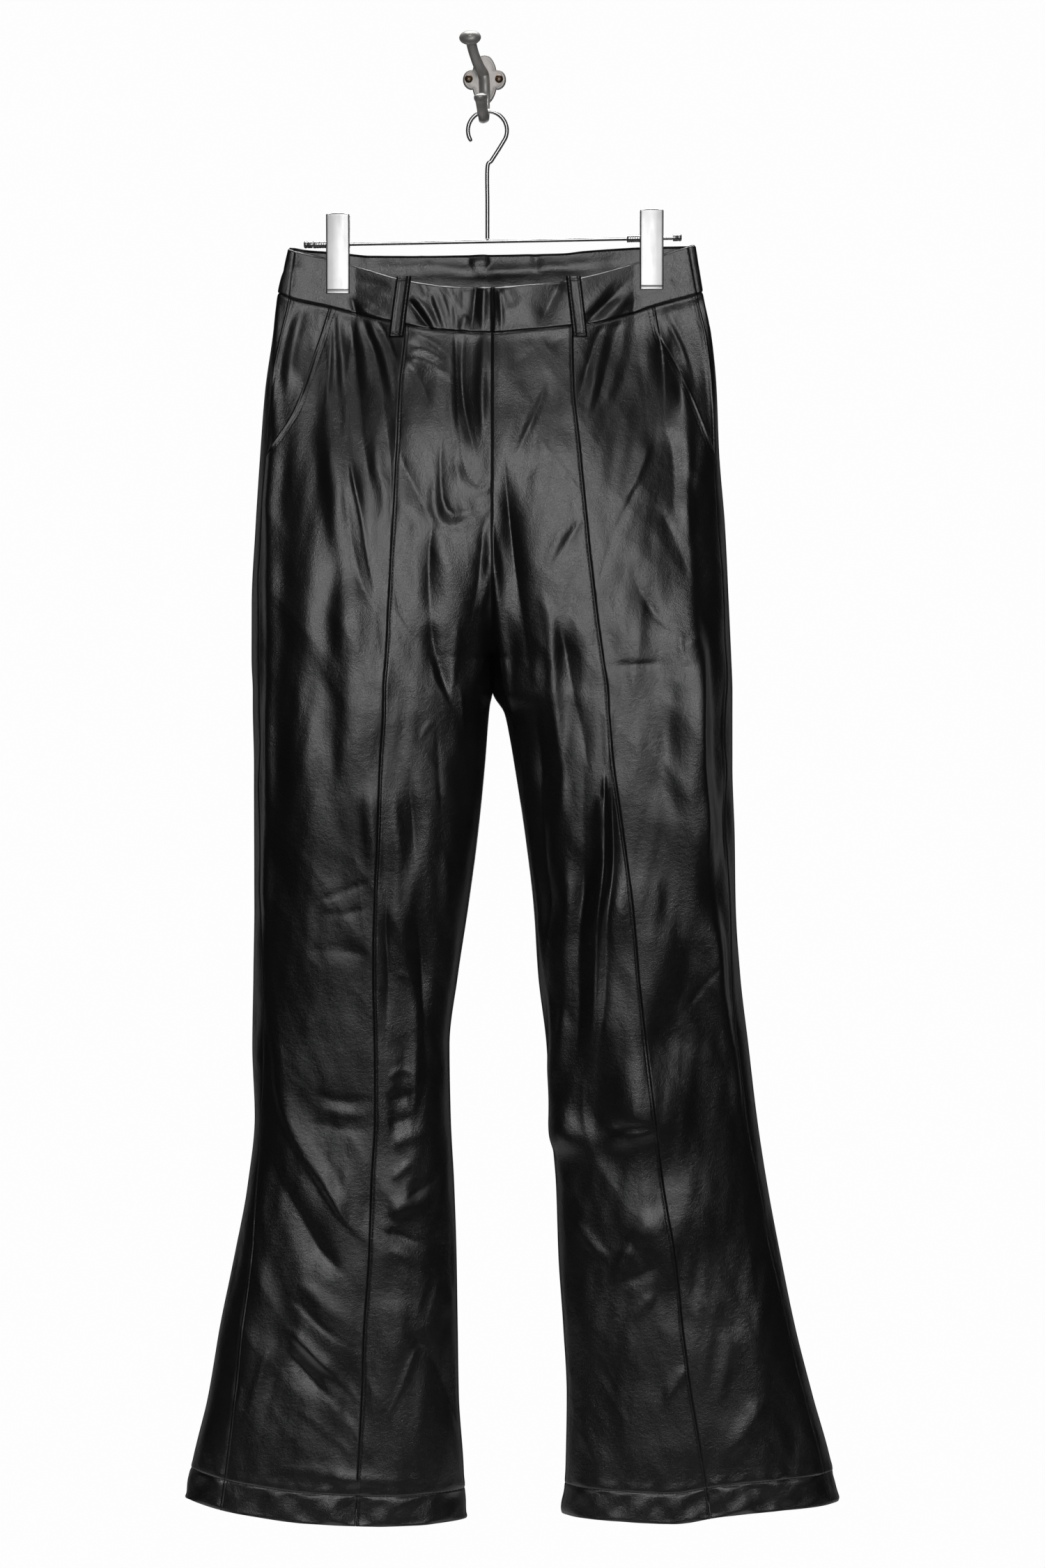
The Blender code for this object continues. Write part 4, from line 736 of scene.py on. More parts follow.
def band_top(x, turn):
    """Height of the waistband's top edge."""
    back = smooth(x, WAIST["x"], WAIST["back_top"])
    return round_the_side(smooth(x, WAIST["x"], WAIST["front_top"]), back, turn)


def hem_edge(side):
    """Height of the hem's edge, as a function of x and turn."""
    level = LEVELS[side]
    inner = np.interp(-HEM_Z, -level["z"], level["inner"])
    outer = np.interp(-HEM_Z, -level["z"], level["outer"])
    hem = HEMS[side]
    return lambda x, turn: smooth((x - inner) / (outer - inner), hem["share"], hem["z"])


class Grid:
    """A grid on a leg's form: each point's turn, height, place and distance to the four edges."""

    def __init__(self, side, turn, z, start=0.0, end=0.0):
        self.side = side
        self.turn = turn
        self.z = z
        self.base = base_point(side, turn, z)
        self.start = start
        self.end = end
        self.top = z[:1] - z
        self.foot = z - z[-1:]


def cut_grid(side, start, end, count, crowd, rows, top, bottom, bottom_z=HEM_Z):
    """The grid of a piece between two seams.

    Columns stand evenly along the cloth, closer at both ends by u - crowd sin(2 pi u) / 2 pi.
    """
    levels = np.linspace(*TABLE_Z, TABLE_LEVELS)
    share = np.linspace(0.0, 1.0, TABLE_TURNS)
    even = np.linspace(0.0, 1.0, count + 1)
    place = even - crowd * np.sin(2 * math.pi * even) / (2 * math.pi)
    turns = start(levels)[:, None] * (1 - share) + end(levels)[:, None] * share
    points = base_point(side, turns, levels[:, None] + 0 * turns)
    steps = np.linalg.norm(np.diff(points, axis=1), axis=2)
    length = np.concatenate([np.zeros((len(levels), 1)), np.cumsum(steps, axis=1)], axis=1)
    table = np.empty((len(levels), count + 1))
    for i in range(len(levels)):
        last = max(length[i, -1] - SHELL_GAP / 2, SHELL_GAP)
        table[i] = np.interp(SHELL_GAP / 2 + (last - SHELL_GAP / 2) * place, length[i], turns[i])
    heights = levels[::-1]
    turn = np.empty((len(rows), count + 1))
    z = np.empty_like(turn)
    for j in range(count + 1):
        column = table[::-1, j]
        edge = np.interp(WAIST_Z, heights, column)
        high = top(base_point(side, edge, np.float64(WAIST_Z))[0], edge)
        edge = np.interp(bottom_z, heights, column)
        low = bottom(base_point(side, edge, np.float64(bottom_z))[0], edge)
        z[:, j] = high + (low - high) * rows
        turn[:, j] = np.interp(z[:, j], heights, column)
    width = np.interp(z, heights, length[::-1, -1])
    return Grid(side, turn, z, place * width, (1 - place) * width)


# ---------------------------------------------------------------------------------------------
# The relief
# ---------------------------------------------------------------------------------------------


def in_photo(points):
    """Where the camera sees points, as x and y in pixels of the photograph."""
    pixel = (points[..., 1] - CAMERA[1]) * PIXEL_PER_METRE
    right = PHOTO_SIZE[0] / 2 + (points[..., 0] - CAMERA[0]) / pixel
    return right, PHOTO_SIZE[1] / 2 - (points[..., 2] - CAMERA[2]) / pixel


def parabola(start, middle, end, t):
    """The curve through three values: start at t = 0, middle at 1/2 and end at 1."""
    bend = 2 * middle - (start + end) / 2
    return start * (1 - t) ** 2 + 2 * bend * t * (1 - t) + end * t * t


def wander(x, y, seed, low, high, size):
    """Sum of a few sine waves of random direction, length and phase."""
    random = np.random.default_rng(seed)
    total = np.zeros_like(x)
    for _ in range(WANDER_WAVES):
        wave = random.uniform(low, high)
        angle = random.uniform(0, math.pi)
        phase = random.uniform(0, 6.28)
        total += np.sin(2 * math.pi * (x * math.cos(angle) + y * math.sin(angle)) / wave + phase)
    return total * size / WANDER_WAVES


def folds(points, table, ridge=ROUND):
    """Sum of the ridges and troughs of a table at points, in metres.

    Each is height * ends * exp(-(d / w)^form), where d is the distance to a parabola through the
    fold's three points; a trough's form is CREASED, so its bottom is narrow. Both ends fade and
    narrow, and waves bend its run and make it uneven.
    """
    x, y = in_photo(points)
    uneven = 1 + wander(x, y, *UNEVEN)
    x, y = x + wander(x, y, *BEND_X), y + wander(x, y, *BEND_Y)
    total = np.zeros_like(x)
    t = np.linspace(0.0, 1.0, FOLD_STEPS + 1)
    for row in table:
        fold = dict(zip(FOLD_NAMES, row))
        form = ridge if fold["tilt"] > 0 else CREASED
        path_x = parabola(fold["x1"], fold["x2"], fold["x3"], t)
        path_y = parabola(fold["y1"], fold["y2"], fold["y3"], t)
        width = fold["width"]
        far = FOLD_REACH * width * fold["spread"]
        near = (x > path_x.min() - far) & (x < path_x.max() + far)
        near &= (y > path_y.min() - far) & (y < path_y.max() + far)
        nearest = np.full(int(near.sum()), np.inf)
        along = np.zeros_like(nearest)
        hand = np.zeros_like(nearest)
        for i in range(FOLD_STEPS):
            step_x = path_x[i + 1] - path_x[i]
            step_y = path_y[i + 1] - path_y[i]
            off_x = x[near] - path_x[i]
            off_y = y[near] - path_y[i]
            share = np.clip((off_x * step_x + off_y * step_y) / (step_x**2 + step_y**2), 0.0, 1.0)
            away = np.hypot(off_x - share * step_x, off_y - share * step_y)
            closer = away < nearest
            along = np.where(closer, (i + share) / FOLD_STEPS, along)
            side = (step_y * off_x - step_x * off_y) / math.hypot(step_x, step_y)
            hand = np.where(closer, side / width, hand)
            nearest = np.where(closer, away, nearest)
        ends = ramp(along / FOLD_GROWS) * ramp((1 - along) / FOLD_FADES)
        wide = width * (1 + (fold["spread"] - 1) * along) * (1 + fold["lean"] * np.tanh(2 * hand))
        wide = wide * (FOLD_THIN + (1 - FOLD_THIN) * ends)
        total[near] += fold["tilt"] * width * ends * np.exp(-((nearest / wide) ** form))
    pixel = PIXEL_PER_METRE * (HANG_Y - CAMERA[1])
    return total * uneven * pixel / STEEPEST


def ripple(x, z, seed, count, low, high, stretch, height):
    """Sum of sine waves of random direction and phase, longer down the cloth than across it."""
    random = np.random.default_rng(seed)
    total = np.zeros_like(x)
    for _ in range(count):
        wave = random.uniform(low, high)
        angle = random.uniform(-RIPPLE_LEAN, RIPPLE_LEAN)
        phase = random.uniform(0, 2 * math.pi)
        across = x * math.cos(angle) / wave
        down = z * math.sin(angle) / (wave * stretch)
        total += np.sin(2 * math.pi * (across + down) + phase)
    return total * height / math.sqrt(count)


def crumple(x, z, seed, count, low, high, height):
    """Sum of |sin| waves of random direction: faint crossing creases, present here and there."""
    random = np.random.default_rng(seed)
    total = np.zeros_like(x)
    for _ in range(count):
        wave = random.uniform(low, high)
        angle = random.uniform(-CRUMPLE_LEAN, CRUMPLE_LEAN)
        across = (x * math.cos(angle) + z * math.sin(angle)) / wave
        patch = np.sin(x / (CRUMPLE_PATCH[0] + 0.3 * wave) + random.uniform(0, 6))
        patch *= np.sin(z / CRUMPLE_PATCH[1] + random.uniform(0, 6))
        total += np.abs(np.sin(math.pi * across + random.uniform(0, 3))) * ramp(patch * 1.6)
    return -total * height


def sunk_seam(distance, depth, width):
    """A groove with a round lip: the cloth turns in over width at a seam."""
    return -depth * bell(distance / width)


def edge_stitched(distance):
    """Seam groove, a narrow ridge beside it, and the dent of its stitch row."""
    ridge = 0.25 * MM * bell((distance - 1.2 * MM) / (0.7 * MM))
    dent = 0.25 * MM * bell((distance - EDGE_STITCH) / (0.5 * MM))
    return sunk_seam(distance, 0.5 * MM, 0.5 * MM) + ridge - dent


def seam_fade(turn):
    """1 on the front and the back, 0 at the sides, where a seam of the middle has no groove."""
    return ramp((np.abs(np.sin(turn)) - 0.30) / 0.50)


def body_relief(cut):
    """Folds and ripples of the leg panels, the front's and the back's meeting at the sides."""
    base = cut.base
    x = base[..., 0]
    z = base[..., 2]
    front = folds(base, FRONT_FOLDS) + folds(base, FRONT_LINES, SHARP)
    front *= 1 - CALF_SHARE * ramp((CALF_Z - z) / 0.15)
    front += ripple(x, z, *FRONT_SWELL)
    front += ripple(x, z, *FRONT_RIPPLE)
    front += crumple(x, z, *FRONT_CRUMPLE)
    back = folds(base, BACK_FOLDS)
    back += ripple(x, z, *BACK_SWELL)
    back += crumple(x, z, *BACK_CRUMPLE)
    swing = np.sin(cut.turn)
    return np.where(swing > 0, front, back) * ramp(np.abs(swing) / 0.30) * ramp(cut.top / (9 * MM))


def hem_relief(cut):
    """The hem: a stitched groove, cloth that puckers over it, and a crushed turn-up below it."""
    x = cut.base[..., 0]
    below = HEM_STITCH - cut.foot
    groove = -0.50 * MM * bell(below / (0.9 * MM))
    pulled = 0.6 + ripple(x, cut.z, *HEM_PUCKERS)
    puckers = 0.5 * MM * pulled * bell((below + 3.5 * MM) / (4 * MM))
    crushed = ripple(x, cut.z, *HEM_CRUSH) * ramp(cut.foot / (4 * MM))
    turn_up = ramp(below / (3 * MM)) * (0.3 * MM + 0.05 * below + crushed)
    return groove + puckers + turn_up + sunk_seam(cut.foot, 0.5 * MM, 0.8 * MM)


def raise_grid(cut, height, middle=None):
    """Moves the form's points out along its level normals, then returns points and normals.

    middle is each point's distance to an edge that meets the other leg's at the middle plane.
    """
    side = cut.side
    z = cut.z
    along = base_point(side, cut.turn + SMALL_TURN, z) - base_point(side, cut.turn - SMALL_TURN, z)
    length = np.hypot(along[..., 0], along[..., 1]) + TINY
    out = np.stack([-side * along[..., 1] / length, side * along[..., 0] / length, 0 * z], axis=-1)
    points = cut.base + out * height[..., None]
    if middle is not None:
        lap = LEGS_LAP * ramp((CROTCH_Z - z) / (4 * MM))
        miss = MIDDLE_X + side * (SHELL_GAP / 2 - lap) - points[:, -1:, 0]
        points[..., 0] += miss * bell(middle / (5 * MM)) * ramp((z - LEGS_PART_Z) / (6 * MM))
    normals = np.cross(np.gradient(points, axis=1), np.gradient(points, axis=0))
    normals /= np.linalg.norm(normals, axis=2, keepdims=True) + TINY
    facing = np.sign(np.sum(normals * out, axis=2, keepdims=True))
    return points, normals * np.where(facing == 0, 1, facing)


# ---------------------------------------------------------------------------------------------
# Meshes
# ---------------------------------------------------------------------------------------------


def new_object(name, points, faces, material, sharp=50):
    """A piece at the origin, smooth but for its sharp edges, riding on the one body."""
    mesh = bpy.data.meshes.new(name)
    mesh.from_pydata(points, [], faces)
    mesh.shade_smooth()
    mesh.set_sharp_from_angle(angle=math.radians(sharp))
    mesh.materials.append(material)
    item = bpy.data.objects.new(name, mesh)
    bpy.context.scene.collection.objects.link(item)
    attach(item, BODY)
    return item


def quads(index):
    """Faces between neighbouring points of an index grid."""
    face = np.stack([index[:-1, :-1], index[:-1, 1:], index[1:, 1:], index[1:, :-1]], axis=-1)
    return face.reshape(-1, 4)


def shell_mesh(outer, inner, flip):
    """Points and faces of the closed solid between two grids of one size. The inner grid keeps
    every second row and column, and a rim face joins two outer steps to one inner step.
    """
    inner = inner[::2, ::2]
    near = np.arange(outer.shape[0] * outer.shape[1]).reshape(outer.shape[:2])
    far = np.arange(inner.shape[0] * inner.shape[1]).reshape(inner.shape[:2]) + near.size
    faces = quads(near).tolist() + quads(far)[:, ::-1].tolist()
    for edge, inside, sign in (
        (near[0], far[0], -1),
        (near[-1], far[-1], 1),
        (near[:, 0], far[:, 0], 1),
        (near[:, -1], far[:, -1], -1),
    ):
        rim = np.stack([edge[:-2:2], edge[1:-1:2], edge[2::2], inside[1:], inside[:-1]], axis=1)
        faces += rim[:, ::sign].tolist()
    if flip:
        faces = [face[::-1] for face in faces]
    return np.concatenate([outer.reshape(-1, 3), inner.reshape(-1, 3)]), faces


def cut_size(points):
    """Widest level, longest column and area of a grid: the size that its cloth was cut to."""
    wide = np.linalg.norm(np.diff(points, axis=1), axis=2).sum(axis=1).max()
    long = np.linalg.norm(np.diff(points, axis=0), axis=2).sum(axis=0).max()
    across = points[:-1, 1:] - points[:-1, :-1]
    down = points[1:, :-1] - points[:-1, :-1]
    area = np.linalg.norm(np.cross(across, down), axis=2).sum()
    return float(wide), float(long), float(min(area, wide * long))


def cloth_piece(name, outer, inner, cut, material, replaces):
    """A closed thin wall between two grids; it also measures the size of its cut."""
    across = outer[0, 1] - outer[0, 0]
    down = outer[1, 0] - outer[0, 0]
    inside_out = np.cross(across, down) @ (outer[0, 0] - inner[0, 0]) >= 0
    points, faces = shell_mesh(outer, inner, inside_out)
    item = new_object(name, points.tolist(), faces, material)
    wide, long, area = cut_size(cut)
    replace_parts(item, *replaces)


def raised_piece(name, cut, height, wall, material, replaces, middle=None, sink=0.0):
    """A cloth piece on its leg's form, raised by its relief, or sunk under what covers it."""
    points, normals = raise_grid(cut, height, middle)
    outer = points - normals * sink
    inner = outer - normals * np.broadcast_to(wall, height.shape)[..., None]
    cloth_piece(name, outer, inner, points, material, replaces)
    return points, normals


def path_frame(points):
    """Unit tangents of a path, by central differences."""
    tangent = np.gradient(points, axis=0)
    return tangent / (np.linalg.norm(tangent, axis=1, keepdims=True) + TINY)


def read_along(at, length, values):
    """Each column of values, read at distances along a run."""
    return np.stack([np.interp(at, length, column) for column in values.T], axis=1)


def stitches(name, runs, material):
    """Rows of threads. Each stitch is a five-sided spindle that dips into the cloth at both ends:
    offset = tangent * along + (across cos a + normal sin a) * r(along), lowered by a parabola.
    """
    sides = 5
    rings = np.array([-0.5, -0.36, 0.0, 0.36, 0.5])
    along = rings * STITCH_LENGTH
    radius = STITCH_RADIUS * np.array([0.3, 0.9, 1.0, 0.9, 0.3])
    lift = STITCH_RADIUS * (0.55 - 2.2 * (2 * rings) ** 4)
    angle = np.arange(sides) * 2 * math.pi / sides
    cosine = np.cos(angle)[:, None]
    sine = np.sin(angle)[:, None]
    size = len(rings) * sides
    index = np.arange(size).reshape(len(rings), sides)
    ring_faces = quads(np.concatenate([index, index[:, :1]], axis=1))
    verts = []
    faces = []
    offset = 0
    for points, normals in runs:
        steps = np.linalg.norm(np.diff(points, axis=0), axis=1)
        length = np.concatenate([[0], np.cumsum(steps)])
        count = int(length[-1] / STITCH_STEP)
        at = (np.arange(count) + 0.5) * length[-1] / max(count, 1)
        # axes: stitch, ring, side, coordinate
        centre = read_along(at, length, points)[:, None, None]
        normal = read_along(at, length, normals)[:, None, None]
        tangent = read_along(at, length, path_frame(points))[:, None, None]
        across = np.cross(tangent, normal)
        body = centre + tangent * along[:, None, None] + normal * lift[:, None, None]
        body = body + (cosine * across + sine * normal) * radius[:, None, None]
        verts.append(body.reshape(-1, 3))
        starts = offset + np.arange(count) * size
        faces.append((ring_faces[None] + starts[:, None, None]).reshape(-1, 4))
        offset += count * size
    points = np.concatenate(verts).tolist()
    return new_object(name, points, np.concatenate(faces).tolist(), material, 80)


def close_path(path, count):
    """A smooth curve through given points (Catmull-Rom), resampled evenly."""
    path = np.array(path, dtype=float)
    padded = np.concatenate([[2 * path[0] - path[1]], path, [2 * path[-1] - path[-2]]])
    t = np.linspace(0, len(path) - 1 - TINY, count)
    i = t.astype(int)
    t = (t - i)[:, None]
    a, b, c, d = (padded[i + k] for k in range(4))
    linear = (c - a) * t
    square = (2 * a - 5 * b + 4 * c - d) * t**2
    cube = (3 * b - a - 3 * c + d) * t**3
    return 0.5 * (2 * b + linear + square + cube)


def tube_mesh(path, radii, sides, squash=1.0):
    """Rings of a round rod: the ring's across vector is carried along the path without twist."""
    radii = np.broadcast_to(radii, len(path))
    tangent = path_frame(path)
    across = np.array([0.0, 1.0, 0.0])
    if abs(tangent[0] @ across) > 0.9:
        across = np.array([1.0, 0.0, 0.0])
    angle = np.arange(sides) * 2 * math.pi / sides
    rings = []
    for centre, direction, radius in zip(path, tangent, radii):
        across = across - direction * (across @ direction)
        across = across / np.linalg.norm(across)
        other = np.cross(direction, across)
        ring = np.cos(angle)[:, None] * across * squash + np.sin(angle)[:, None] * other
        rings.append(centre + ring * radius)
    index = np.arange(len(path) * sides).reshape(-1, sides)
    faces = quads(np.concatenate([index, index[:, :1]], axis=1))[:, ::-1].tolist()
    faces.append(index[0].tolist())
    faces.append(index[-1, ::-1].tolist())
    return np.concatenate(rings), faces


def turned_mesh(profile, place, axis, sides):
    """A lathe shape: each (along, radius) of a closed profile goes round the axis."""
    profile = np.array(profile, dtype=float)
    axis = np.array(axis, dtype=float)
    axis = axis / np.linalg.norm(axis)
    across = np.cross(axis, [0.0, 0.3, 1.0])
    across = across / np.linalg.norm(across)
    other = np.cross(axis, across)
    angle = np.arange(sides) * 2 * math.pi / sides
    out = np.cos(angle)[:, None] * across + np.sin(angle)[:, None] * other
    points = np.array(place) + axis * profile[None, :, :1] + out[:, None, :] * profile[None, :, 1:]
    index = np.arange(sides * len(profile)).reshape(sides, -1)
    index = np.concatenate([index, index[:1]], axis=0)
    index = np.concatenate([index, index[:, :1]], axis=1)
    return points.reshape(-1, 3), quads(index).tolist()


def clean_object(name, meshes, material, sharp=40):
    """Joins (points, faces) meshes, merges doubles and points all faces outwards."""
    points = []
    faces = []
    start = 0
    for part_points, part_faces in meshes:
        points.append(part_points)
        faces += [[start + i for i in face] for face in part_faces]
        start += len(part_points)
    item = new_object(name, np.concatenate(points).tolist(), faces, material, sharp)
    build = bmesh.new()
    build.from_mesh(item.data)
    bmesh.ops.remove_doubles(build, verts=build.verts, dist=1e-6)
    bmesh.ops.dissolve_degenerate(build, dist=1e-7, edges=build.edges)
    bmesh.ops.recalc_face_normals(build, faces=build.faces)
    build.to_mesh(item.data)
    build.free()
    item.data.set_sharp_from_angle(angle=math.radians(sharp))
    return item


# ---------------------------------------------------------------------------------------------
# Materials
# ---------------------------------------------------------------------------------------------

# Noise scales for each metre, and how colours vary
CLOTH_BROAD = 14.0
CLOTH_FINE = 120.0
CLOTH_CLOUDY = 260.0
CLOTH_GRAIN = 1500.0
CLOTH_WEAVE = 2600.0
CLOTH_PALE = (1.9, 1.65, 1.5)  # the palest cloth colour over the darkest
THREAD_TWIST = 3500.0
METAL_SPOTS = 90.0
METAL_DARK = 0.82

# Colour inputs and output of a Mix node, whose names it uses more than once
MIX_LOW = 6
MIX_HIGH = 7
MIX_RESULT = 2


class Socket:
    """A node's output in an expression: arithmetic on it adds Math nodes."""

    def __init__(self, tree, socket):
        self.tree = tree
        self.socket = socket

    def node(self, kind, settings, inputs, output=0):
        """An output of a new node, whose settings are set before its inputs."""
        made = self.tree.nodes.new(kind)
        for key, value in settings.items():
            setattr(made, key, value)
        set_inputs(made, inputs)
        return Socket(self.tree, made.outputs[output])

    def math(self, operation, first, second):
        """One Math node of two values."""
        return self.node("ShaderNodeMath", {"operation": operation}, {0: first, 1: second})

    def __add__(self, other):
        return self.math("ADD", self, other)

    def __radd__(self, other):
        return self.math("ADD", other, self)

    def __mul__(self, other):
        return self.math("MULTIPLY", self, other)

    def __rmul__(self, other):
        return self.math("MULTIPLY", other, self)


def set_inputs(node, inputs):
    """Links or sets inputs of a node, each by its name or number."""
    for key, value in inputs.items():
        if isinstance(value, Socket):
            value.tree.links.new(value.socket, node.inputs[key])
        else:
            node.inputs[key].default_value = value


def start_material(name):
    """A material's surface shader and its Object coordinates."""
    material = bpy.data.materials.new(name)
    material.use_nodes = True
    tree = material.node_tree
    surface = tree.nodes["Principled BSDF"]
    place = Socket(tree, tree.nodes.new("ShaderNodeTexCoord").outputs["Object"])
    return material, surface, place


def noise(place, scale, detail, roughness=0.55):
    """Noise from 0 to 1 on Object coordinates."""
    inputs = {"Vector": place, "Scale": scale, "Detail": detail, "Roughness": roughness}
    return place.node("ShaderNodeTexNoise", {}, inputs)


def blend_colour(share, low, high):
    """Mixes two colours by a 0 to 1 socket."""
    inputs = {"Factor": share, MIX_LOW: (*low, 1.0), MIX_HIGH: (*high, 1.0)}
    return share.node("ShaderNodeMix", {"data_type": "RGBA"}, inputs, MIX_RESULT)


def bump(height, strength, distance):
    """A bump from a height socket."""
    inputs = {"Height": height, "Strength": strength, "Distance": distance}
    return height.node("ShaderNodeBump", {}, inputs)


def faux_leather(name, seed):
    """Satin coated cloth: near black, fine pebbled grain, soft mottling of its gloss."""
    looks = bpy.context.scene.trouser_finish
    material, surface, place = start_material(name)
    broad = noise(place, CLOTH_BROAD + seed, 4.0)
    fine = noise(place, CLOTH_FINE, 3.0)
    cells = {"Vector": place, "Scale": CLOTH_GRAIN, "Smoothness": 0.7}
    grain = place.node("ShaderNodeTexVoronoi", {"feature": "SMOOTH_F1"}, cells)
    weave = noise(place, CLOTH_WEAVE, 2.0)
    cloudy = noise(place, CLOTH_CLOUDY, 5.0, 0.72)
    dark = tuple(looks.cloth_colour)
    pale = tuple(value * factor for value, factor in zip(dark, CLOTH_PALE))
    relief = 0.3 * grain + 0.2 * weave + 0.35 * fine + 1.1 * cloudy
    set_inputs(surface, {
        "Base Color": blend_colour(broad, dark, pale),
        "Roughness": looks.cloth_roughness - 0.05 + 0.08 * broad + 0.05 * fine,
        "Specular IOR Level": 1.0,
        "IOR": 1.7,
        "Normal": bump(relief, 1.0, 0.3 * MM),
    })
    return material


def thread():
    """Black twisted sewing thread."""
    material, surface, place = start_material("black_thread")
    twist = noise(place, THREAD_TWIST, 1.0)
    set_inputs(surface, {
        "Base Color": blend_colour(twist, (0.010, 0.010, 0.011), (0.03, 0.03, 0.032)),
        "Roughness": 0.38 + 0.2 * twist,
        "Normal": bump(twist, 0.4, 0.1 * MM),
    })
    return material


def metal(name, colour, roughness, grain_scale, grain_depth, streaks=1.0, metallic=1.0):
    """Satin metal with fine grain, drawn out along Z where streaks is over 1."""
    material, surface, place = start_material(name)
    stretch = {"Vector": place, "Scale": (1.0, 1.0, 1.0 / streaks)}
    grain = noise(place.node("ShaderNodeMapping", {}, stretch), grain_scale, 3.0)
    spots = noise(place, METAL_SPOTS, 4.0)
    dark = tuple(value * METAL_DARK for value in colour)
    set_inputs(surface, {
        "Base Color": blend_colour(spots, dark, tuple(colour)),
        "Metallic": metallic,
        "Roughness": roughness - 0.06 + 0.12 * grain,
        "Normal": bump(grain, 0.25, grain_depth * MM),
    })
    return material


# ---------------------------------------------------------------------------------------------
# Settings
# ---------------------------------------------------------------------------------------------


class TrouserSizes(bpy.types.PropertyGroup):
    """Sizes of the cloth"""

    wall: FloatProperty(name="Cloth", description="One layer of cloth", default=0.0011, unit="LENGTH")
    band_wall: FloatProperty(
        name="Waistband", description="Folded waistband", default=0.0023, unit="LENGTH"
    )
    hem_wall: FloatProperty(name="Hem", description="Turned-up hem", default=0.0022, unit="LENGTH")
    loop_width: FloatProperty(
        name="Belt loop", description="Width of a belt loop", default=0.0125, unit="LENGTH"
    )


class TrouserFinish(bpy.types.PropertyGroup):
    """Colours and gloss"""

    cloth_colour: FloatVectorProperty(
        name="Cloth", description="Darkest cloth colour", subtype="COLOR", default=(0.0062, 0.0064, 0.0072)
    )
    cloth_roughness: FloatProperty(name="Cloth gloss", description="Roughness of the cloth", default=0.28)
    steel_colour: FloatVectorProperty(
        name="Steel", description="Hanger and clips", subtype="COLOR", default=(0.92, 0.925, 0.92)
    )
    cast_colour: FloatVectorProperty(
        name="Casting", description="Wall hook", subtype="COLOR", default=(0.74, 0.71, 0.68)
    )


class StageSettings(bpy.types.PropertyGroup):
    """Camera and light"""

    key_power: FloatProperty(name="Key light", description="Softbox behind the camera", default=20.0)
    room_light: FloatProperty(name="Room", description="Light from all around", default=0.013)
    floor_drop: FloatProperty(name="Floor", description="Floor height", default=-1.45, unit="LENGTH")


# ---------------------------------------------------------------------------------------------
# Pieces
# ---------------------------------------------------------------------------------------------

LOOPS = (
    # name, side, face, x at top, x at foot, top, foot
    ("front_right", RIGHT, 1, -0.0672, -0.0735, -0.1775, -0.2285),
    ("front_left", LEFT, 1, 0.0755, 0.0810, -0.1775, -0.2285),
    ("back_right", RIGHT, -1, -0.0700, -0.0740, -0.1590, -0.2060),
    ("back_left", LEFT, -1, 0.0850, 0.0890, -0.1560, -0.2030),
    ("back_centre", LEFT, -1, MIDDLE_X, MIDDLE_X, -0.1585, -0.2060),
)
LEG_PIECES = (
    # name, first and last edge, columns, how much closer the columns stand at the edges
    ("front_centre", "panel_seam", "middle", 116, 0.55),
    ("front_side", "mouth", "panel_seam", 116, 0.55),
    ("back", "outseam", "centre_back", 96, 0.40),
)
LOOP_GRID = (71, 27)  # rows and columns
LOOP_STITCH_COLUMNS = (4, 22)
LOOP_STITCH_ROWS = (3, -5)
SEAM_FROM = 12  # rows down to a panel seam's first stitch
MOUTH_FROM = 3
FLY_STEP = 0.5 * MM
FLY_SINK = 3.2 * MM  # how deep the fly facing lies under the front
POCKET_BELOW = 4 * MM  # how far the facing ends under the pocket's mouth

# Metal parts: (along, radius) profiles in mm that are turned round the bar, and plate sizes
TURNED_SIDES = 32
CAP_PROFILE = (
    (-5.0, 2.0), (-5.0, 2.7), (-4.7, 3.0), (-1.0, 3.0), (-0.6, 2.75), (-0.2, 2.75), (0.2, 3.1),
    (1.4, 3.1), (2.1, 2.7), (2.5, 1.8), (2.6, 0.0), (0.3, 0.0), (0.3, 2.0),
)
CLIP_HALF = 10.0 * MM
CLIP_BEND = 1.1 * MM
CLIP_WALL = 0.9 * MM
CLIP_ROLL = 3.2 * MM
# Half the gap between a clip's plates, by how far down it is, in mm
CLIP_GAP = ((0.0, 6.2), (10.0, 5.2), (24.5, 4.2), (45.0, 3.7), (68.5, 3.4))
SLEEVE_REACH = 21 * MM
PLATE_HALF = (18.5 * MM, 21.5 * MM)
PLATE_SIDES = 144
# How far each ring of the wall plate stands out, in mm, and its size
PLATE_RINGS = (
    (0.0, 1.0), (2.0, 1.0), (2.5, 0.985), (2.85, 0.955), (3.0, 0.91), (2.8, 0.86), (2.75, 0.55),
    (2.9, 0.36), (3.0, 0.2),
)
PRONG_TIP = 0.8 * MM
BRONZE = (0.26, 0.18, 0.12)
SCREW_RINGS = 41
SCREW_SIDES = 96
SCREW_TILT = 0.5

